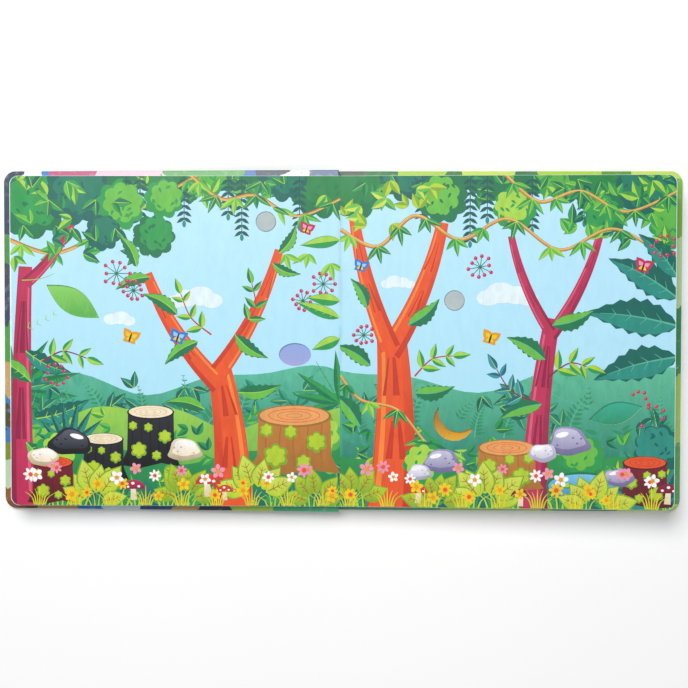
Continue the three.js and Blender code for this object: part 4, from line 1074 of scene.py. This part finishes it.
def right_print(page):
    bleed(page, swell(-20, 7, 29, 2.2))
    each(cloud, page, ((98, 26, 16), (34, 34, 9)))
    places = ((10, 92, 20), (38, 97, 15), (128, 98, 16), (150, 93, 18), (180, 91, 20), (193, 68, 14))
    canopy(page, places, 131)
    each(hanging_frond, page, ((76, 38, 10), (86, 24, 6), (112, 30, 8), (142, 26, 7), (48, 24, 6)))
    ground(page, (-50, 5, 23, 0.3), (-70, 5, 27, 2.2), 121)
    limbs = ((30, -99, 28, 30, 6, 17, -5), (29, -6, 14, 60, 70, 7, -8), (30, -4, 12, 8, 74, 6, 6))
    each(limb, page, limbs, *ORANGE_BARK)
    limbs = ((114, -99, 16, 124, 14, 9, 5), (123, 4, 8, 152, 66, 4, -7), (123, 6, 7, 100, 62, 4, 6))
    each(limb, page, limbs, *MAGENTA_BARK)
    tones = ((LEAF_DARK, LEAF_LIGHT), (LEAF_MID, LEAF_PALE), (LEAF_DARK, LEAF_MID))
    crowns(page, ((60, 84, 15), (102, 78, 13), (154, 74, 13)), tones, 141)
    scatter(page, 144, 22, 130, 58, 196, 97, 10, GREENS)
    scatter(page, 145, 12, 0, 66, 60, 97, 10, LIMES)
    line = [(0, 66), (22, 56), (44, 74), (70, 60), (98, 72), (128, 54), (160, 66), (196, 44)]
    vine(page, line, 2.4, 11, 14)
    vine(page, [(96, 98), (116, 82), (140, 88), (166, 76), (196, 88)], 2.2, 7, 15)
    vine(page, [(0, -20), (12, -34), (34, -40), (52, -60), (70, -66)], 2.0, 5, 16)
    leaves = (
        (196, 26, 150, 46), (196, 10, 172, 54), (196, -8, 196, 50), (196, -24, 215, 40), (196, 38, 132, 34),
        (124, 10, 20, 26), (120, -10, 150, 26), (40, 10, 40, 24), (18, -14, 150, 24), (16, 20, 120, 20),
        (118, -36, 200, 26), (124, -30, -15, 28), (44, -30, 10, 24), (12, -50, 130, 26), (46, -52, 40, 26),
    )
    big_leaves(page, leaves, 0.42, -2, TEAL_LIGHT)
    sprig(page, [(122, -20), (134, -12), (144, -14)], 12, 5, LEAF_MID, LIME, MAGENTA_DARK)
    sprig(page, [(44, -20), (54, -10), (66, -8)], 11, 4.8, LEAF_MID, LEAF_PALE, ORANGE_DARK)
    sprig(page, [(112, -34), (100, -28), (92, -16)], 11, 4.8, "1D6F86", "3E9BA8", MAGENTA_DARK)
    places = ((182, -44, 8, 0), (174, -34, 6, 20), (82, 44, 7, 10), (14, 4, 6, 0), (188, 56, 7, 0))
    each(berries, page, places)
    palm(page, 184, -96, 100, 40, 9, PINE, TEAL)
    palm(page, 64, -64, 90, 30, 7, LEAF_DARK, LEAF_MID)
    tones = ((LEAF_MID, LEAF_PALE), (TEAL_DARK, TEAL), (LEAF_MID, LEAF_LIGHT))
    crowns(page, ((50, -72, 13), (186, -62, 15), (142, -66, 13)), tones, 151)
    stump(page, 98, -86, 34, 24, *TAN_STUMP)
    stump(page, 178, -96, 26, 26, *RED_STUMP)
    boulder(page, 134, -60, 24, 22, *LILAC_STONE)
    boulder(page, 119, -66, 16, 14, *PALE_STONE)
    boulder(page, 60, -72, 22, 18, *LILAC_STONE)
    boulder(page, 47, -78, 15, 12, *PALE_STONE)
    pond(page, 142, -84, 42, 17)
    boulder(page, 163, -80, 18, 14, *LILAC_STONE)
    each(round_leaf_plant, page, ((86, -96, 20, 7, 161), (148, -98, 19, 6, 162)), *BRIGHT_LIME)
    each(round_leaf_plant, page, ((8, -94, 18, 5, 163), (56, -96, 18, 6, 164)), *DEEP_LIME)
    toadstool(page, 191, -94, 13, BURGUNDY, MAGENTA_DARK)
    toadstool(page, 46, -95, 12, ORANGE_DARK, RED)
    toadstool(page, 106, -96, 11, BURGUNDY, MAGENTA_DARK)
    wings = ((88, 2, 7, AMBER, YELLOW), (176, 44, 7, MAGENTA, PINK), (12, 44, 6, BLUE, BLUE_PALE))
    each(butterfly, page, wings, -16)
    each(grass, page, ((6 + 22 * i, -97, 12, YELLOW, LIME, 180 + i) for i in range(9)))


# Beds of flowers


def flower_bed_nodes():
    """Nodes that put one flat flower on every point, lay the bed on the page and give it its ink."""
    tree = bpy.data.node_groups.new("flower_bed", "GeometryNodeTree")
    face = tree.interface
    face.new_socket("Geometry", in_out="INPUT", socket_type="NodeSocketGeometry")
    wanted = (
        ("Petals", "NodeSocketInt", 5),
        ("Petal Length", "NodeSocketFloat", 4.2 * MM),
        ("Petal Width", "NodeSocketFloat", 2.7 * MM),
        ("Heart Radius", "NodeSocketFloat", 1.25 * MM),
        ("Ink Thickness", "NodeSocketFloat", 0.02 * MM),
        ("Heart Ink", "NodeSocketColor", (*linear(AMBER), 1)),
        ("Fold", "NodeSocketVector", (0, 0, 0)),
        ("Lean", "NodeSocketFloat", 0.0),
    )
    for name, kind, value in wanted:
        face.new_socket(name, in_out="INPUT", socket_type=kind).default_value = value
    face.new_socket("Material", in_out="INPUT", socket_type="NodeSocketMaterial")
    face.new_socket("Geometry", in_out="OUTPUT", socket_type="NodeSocketGeometry")
    given = tree.nodes.new("NodeGroupInput").outputs

    def add(kind, links=None, **settings):
        return add_node(tree, kind, links, **settings)

    def kept(name, kind="FLOAT"):
        return add("GeometryNodeInputNamedAttribute", {"Name": name}, data_type=kind)["Attribute"]

    def flat_disc(corners, long, wide, thick, out):
        disc = add("GeometryNodeMeshCylinder", {"Vertices": corners, "Radius": 1.0, "Depth": 1.0})["Mesh"]
        size = add("ShaderNodeCombineXYZ", {0: long, 1: wide, 2: thick})[0]
        place = add("ShaderNodeCombineXYZ", {0: out, 2: math_node(tree, "MULTIPLY", thick, 0.5)})[0]
        links = {"Geometry": disc, "Translation": place, "Scale": size}
        return add("GeometryNodeTransform", links)["Geometry"]

    half_long = math_node(tree, "MULTIPLY", given["Petal Length"], 0.5)
    half_wide = math_node(tree, "MULTIPLY", given["Petal Width"], 0.5)
    petal = flat_disc(10, half_long, half_wide, given["Ink Thickness"], half_long)
    thicker = math_node(tree, "MULTIPLY", given["Ink Thickness"], 1.5)
    heart = flat_disc(12, given["Heart Radius"], given["Heart Radius"], thicker, 0.0)
    stored = {"Geometry": heart, "Name": "heart", "Value": 1.0}
    heart = add("GeometryNodeStoreNamedAttribute", stored)["Geometry"]
    share = math_node(tree, "DIVIDE", add("GeometryNodeInputIndex")["Index"], given["Petals"])
    spokes = add("GeometryNodePoints", {"Count": given["Petals"]})[0]
    turned = add("ShaderNodeCombineXYZ", {2: math_node(tree, "MULTIPLY", share, math.tau)})[0]
    petals = add("GeometryNodeInstanceOnPoints", {"Points": spokes, "Instance": petal, "Rotation": turned})[0]
    flower_head = add("GeometryNodeJoinGeometry", {0: heart})[0]
    tree.links.new(petals, flower_head.node.inputs[0])
    spin = add("ShaderNodeCombineXYZ", {2: kept("turn")})[0]
    placed = {"Points": given["Geometry"], "Instance": flower_head, "Rotation": spin, "Scale": kept("size")}
    bed = add("GeometryNodeInstanceOnPoints", placed)[0]
    lean = add("ShaderNodeCombineXYZ", {1: given["Lean"]})[0]
    laid = {"Geometry": bed, "Translation": given["Fold"], "Rotation": lean}
    bed = add("GeometryNodeRealizeInstances", {0: add("GeometryNodeTransform", laid)["Geometry"]})[0]
    colour = mix(tree, kept("heart"), kept("ink", "FLOAT_COLOR"), given["Heart Ink"])
    stored = {"Geometry": bed, "Name": "ink", "Value": colour}
    bed = add("GeometryNodeStoreNamedAttribute", stored, data_type="FLOAT_COLOR", domain="POINT")["Geometry"]
    dressed = add("GeometryNodeSetMaterial", {"Geometry": bed, "Material": given["Material"]})["Geometry"]
    tree.links.new(dressed, tree.nodes.new("NodeGroupOutput").inputs[0])
    return tree


def applied(piece):
    """Replaces a piece's mesh by what its modifiers make of it."""
    piece.data = bpy.data.meshes.new_from_object(piece.evaluated_get(bpy.context.evaluated_depsgraph_get()))
    piece.modifiers.clear()


def flower_bed(page, name, body, tree, material, spots, inputs):
    """Prints flowers at spots of out, up, size, turn and ink."""
    height = (INK_TOP + FLOWER_LIFT) * MM
    mesh = bpy.data.meshes.new(name + "_spots")
    mesh.from_pydata([(page.side * u * MM, v * MM, height) for u, v, *_ in spots], [], [])
    _, _, sizes, turns, codes = zip(*spots)
    for key, values in (("size", sizes), ("turn", [math.radians(turn) for turn in turns])):
        mesh.attributes.new(key, "FLOAT", "POINT").data.foreach_set("value", values)
    inks = [c for code in codes for c in (*linear(code), 1)]
    mesh.attributes.new("ink", "FLOAT_COLOR", "POINT").data.foreach_set("color", inks)
    bed = linked(name, mesh)
    grown = bed.modifiers.new("bed", "NODES")
    grown.node_group = tree
    named = {item.name: item.identifier for item in tree.interface.items_tree if item.in_out == "INPUT"}
    lean = -page.side * math.atan2(page.out.z, abs(page.out.x))
    for key, value in {**inputs, "Fold": tuple(page.fold), "Lean": lean, "Material": material}.items():
        grown[named[key]] = value
    applied(bed)
    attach(bed, body)


def bed_spots(seed, count):
    """Places for flowers along the border at the foot of a page."""
    random.seed(seed)
    spots = []
    for i in range(count):
        u = 6 + (PAGE_WIDTH - 18) * i / (count - 1) + random.uniform(-3, 3)
        v = -90 + 5 * ((i * 3) % 4) + random.uniform(-2, 2)
        ink = (YELLOW, PINK, WHITE, YELLOW)[i % 4]
        spots.append((u, v, random.uniform(0.75, 1.1), random.uniform(0, 72), ink))
    return spots


def make_prints():
    left = Page(-1, "left_button_press", [LEFT_LEAF_HOLE, OVAL_HOLE, LEFT_PAD])
    right = Page(1, "right_button_press", [CRESCENT_HOLE, RIGHT_LEAF_HOLE, RIGHT_PAD])
    left_print(left)
    right_print(right)
    ink = ink_material()
    left_piece = left.build("left_page_print", "left_half", ink)
    right_piece = right.build("right_page_print", "right_half", ink)
    tree = flower_bed_nodes()
    five = {"Petals": 5}
    seven = {"Petals": 7, "Petal Width": 1.9 * MM, "Heart Ink": (*linear(ORANGE), 1)}
    flower_bed(left, "left_page_primroses", "left_half", tree, ink, bed_spots(7, 15), five)
    flower_bed(left, "left_page_daisies", "left_half", tree, ink, bed_spots(8, 11), seven)
    flower_bed(right, "right_page_primroses", "right_half", tree, ink, bed_spots(9, 15), five)
    flower_bed(right, "right_page_daisies", "right_half", tree, ink, bed_spots(10, 11), seven)
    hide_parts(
        "left_print_meadow", "left_print_sapling", "left_print_tree", "left_print_canopy"
    )
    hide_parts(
        "right_print_meadow",
        "right_print_tree",
        "right_print_sapling",
        "right_print_bush",
        "right_print_canopy",
    )
    return left, right


# Peep holes


def leaf_outline(turn, grow=0.0):
    """The pointed outline of the left page's leaf-shaped peep hole."""
    length, width = LEFT_LEAF_SIZE
    long, wide = length + 2 * grow, width / 2 + grow
    upper = [((i / 18 - 0.5) * long, wide * math.sin(math.pi * i / 18)) for i in range(19)]
    return spun(upper + [(px, -py) for px, py in upper[-2:0:-1]], *LEFT_LEAF_HOLE[:2], turn)


def slab(page, name, points, bottom, top, material):
    return mesh_piece(name, *page.plate(page.faced(points), bottom, top), material)


def recut_left_pages(page):
    """The left pages with the leaf-shaped peep hole leaning as in the photograph."""
    card = NODES["left_pages"].data.materials[0]
    copied = NODES["left_pages"].data.copy()
    welded = bmesh.new()
    welded.from_mesh(copied)
    bmesh.ops.remove_doubles(welded, verts=welded.verts, dist=1e-7)
    welded.to_mesh(copied)
    welded.free()
    pages = linked("left_pages_card", copied)
    old = leaf_outline(LEFT_LEAF_CAD_TURN, PLUG_MARGIN)
    plug = slab(page, "hole_plug", old, -LEAF_THICKNESS + PLUG_SINK, -PLUG_SINK, card)
    new = leaf_outline(LEFT_LEAF_HOLE[3])
    punch = slab(page, "hole_punch", new, -LEAF_THICKNESS - PUNCH_PAST, 1, card)
    for tool, operation in ((plug, "UNION"), (punch, "DIFFERENCE")):
        cut = pages.modifiers.new(operation, "BOOLEAN")
        cut.operation = operation
        cut.solver = "EXACT"
        cut.object = tool
    applied(pages)
    for tool in (plug, punch):
        bpy.data.objects.remove(tool)
    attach(pages, "left_half")
    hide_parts("left_pages")


def peek_patch(page, name, body, hole, low, high):
    """The print on the second leaf that shows through a peep hole, running from the low ink at its foot to
    the high ink at its top; where the high ink is the darker one, as on the crescent, that darker top is
    painted shade under the hole's upper cut edge.
    """
    x, y, half, turn, radius = hole
    material, tree, shader = finish_material(name + "_ink", 0.4)
    leafy = value_ramp(tree, noise(tree, 220, 3, (1, 0.4, 1), 0.5, 0.6, 1.0), 0.52, 0.6, 0, 0.35)
    paint(tree, shader, mix(tree, leafy, paling(tree, y - radius, y + radius, low, high), high))
    varnish(tree, shader)
    points = ellipse(x, y, half + radius + 3, radius + 2.5, turn, 28)
    height = -LEAF_THICKNESS + PATCH_LIFT
    piece = slab(page, name, points, height, height + PATCH_THICKNESS, material)
    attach(piece, body)


# Finishes of the solids


def dress_nodes():
    """Gives every solid its finish, and steel to those that have no line here."""
    pad = pad_material()
    film = foil_material()
    shell = plastic_material("white_shell_plastic", "E8EAEB", 0.45)
    steel = metal_material("bright_steel", "C9CDD1", 0.28)
    finishes = {
        "left_pages": card_material("left_page_card"),
        "right_pages": card_material("right_page_card"),
        "front_cover": cover_material("front_cover_wrap", *FRONT_WRAP),
        "back_cover": cover_material("back_cover_wrap", *BACK_WRAP),
        "spine_board": cover_material("spine_wrap", *SPINE_WRAP),
        "left_print_hills": hill_material("left_hill_ink", -70, -14, HILL_LOW, HILL_HIGH, "3FA88A"),
        "right_print_hills": hill_material("right_hill_ink", -76, -14, HILL_LOW, "63C29E", "43AA86"),
        "foam_block": foam_material(),
        "circuit_board": circuit_material(),
        "left_sound_button": pad,
        "right_sound_button": pad,
        "left_touch_foil": film,
        "right_touch_foil": film,
        "ribbon_cable": film,
        "module_housing": shell,
        "module_lid": shell,
        "battery_door": shell,
        "power_switch": plastic_material("black_switch_plastic", "1E2023", 0.45),
        "sound_chip": plastic_material("black_epoxy", "121316", 0.2, 400),
        "speaker_cone": plastic_material("cone_film_plastic", "DADCDE", 0.25, 700),
    }
    for name, node in NODES.items():
        node.data.materials.clear()
        node.data.materials.append(finishes.get(name, steel))


# Studio


def area_light(name, place, aim, size, power):
    light = bpy.data.lights.new(name, "AREA")
    light.shape = "DISK"
    light.size = size
    light.energy = power
    lamp = linked(name, light)
    lamp.location = place
    lamp.rotation_euler = (Vector(aim) - Vector(place)).to_track_quat("-Z", "Y").to_euler()


def make_studio():
    material, tree, shader = finish_material("studio_floor", 0.9, specular=0.0)
    paint(tree, shader, ramp(tree, noise(tree, 3), [(0.3, "FDFDFD"), (0.7, WHITE)]))
    corners = ((-1, -1), (1, -1), (1, 1), (-1, 1))
    verts = [(FLOOR_HALF * x, FLOOR_HALF * y, FLOOR_LEVEL) for x, y in corners]
    floor = mesh_piece("studio_floor", verts, [[0, 1, 2, 3]], material)
    world = bpy.data.worlds.new("studio_world")
    world.use_nodes = True
    background = world.node_tree.nodes["Background"]
    background.inputs["Color"].default_value = (1, 1, 1, 1)
    background.inputs["Strength"].default_value = WORLD_STRENGTH
    bpy.context.scene.world = world
    area_light("key_light", (-0.28, 0.62, 1.35), (0, 0, 0), 0.9, KEY_WATTS)
    area_light("fill_light", (0.3, -0.75, 1.5), (0, -0.2, 0), 1.2, FILL_WATTS)


def make_camera():
    camera = linked("camera", bpy.data.cameras.new("camera"))
    camera.data.lens = LENS
    camera.data.sensor_width = 36
    camera.location = CAMERA_PLACE
    camera.rotation_euler = [math.radians(angle) for angle in CAMERA_TURN]
    bpy.context.scene.camera = camera


bpy.context.scene.view_settings.view_transform = "Standard"
make_camera()
make_studio()
dress_nodes()
LEFT_PAGE, RIGHT_PAGE = make_prints()
recut_left_pages(LEFT_PAGE)
peek_patch(LEFT_PAGE, "left_leaf_peek", "left_half", LEFT_LEAF_HOLE, "4FA83E", "7CC653")
peek_patch(LEFT_PAGE, "oval_peek", "left_half", OVAL_HOLE, "9C9DD0", "86A2DC")
# The crescent's amber patch turns dark brown towards its top: print colour with painted shade under the
# hole's upper cut edge.
peek_patch(RIGHT_PAGE, "crescent_peek", "right_half", CRESCENT_HOLE, "DCA40C", "A8700A")
peek_patch(RIGHT_PAGE, "right_leaf_peek", "right_half", RIGHT_LEAF_HOLE, "0F8A62", "2CA98C")
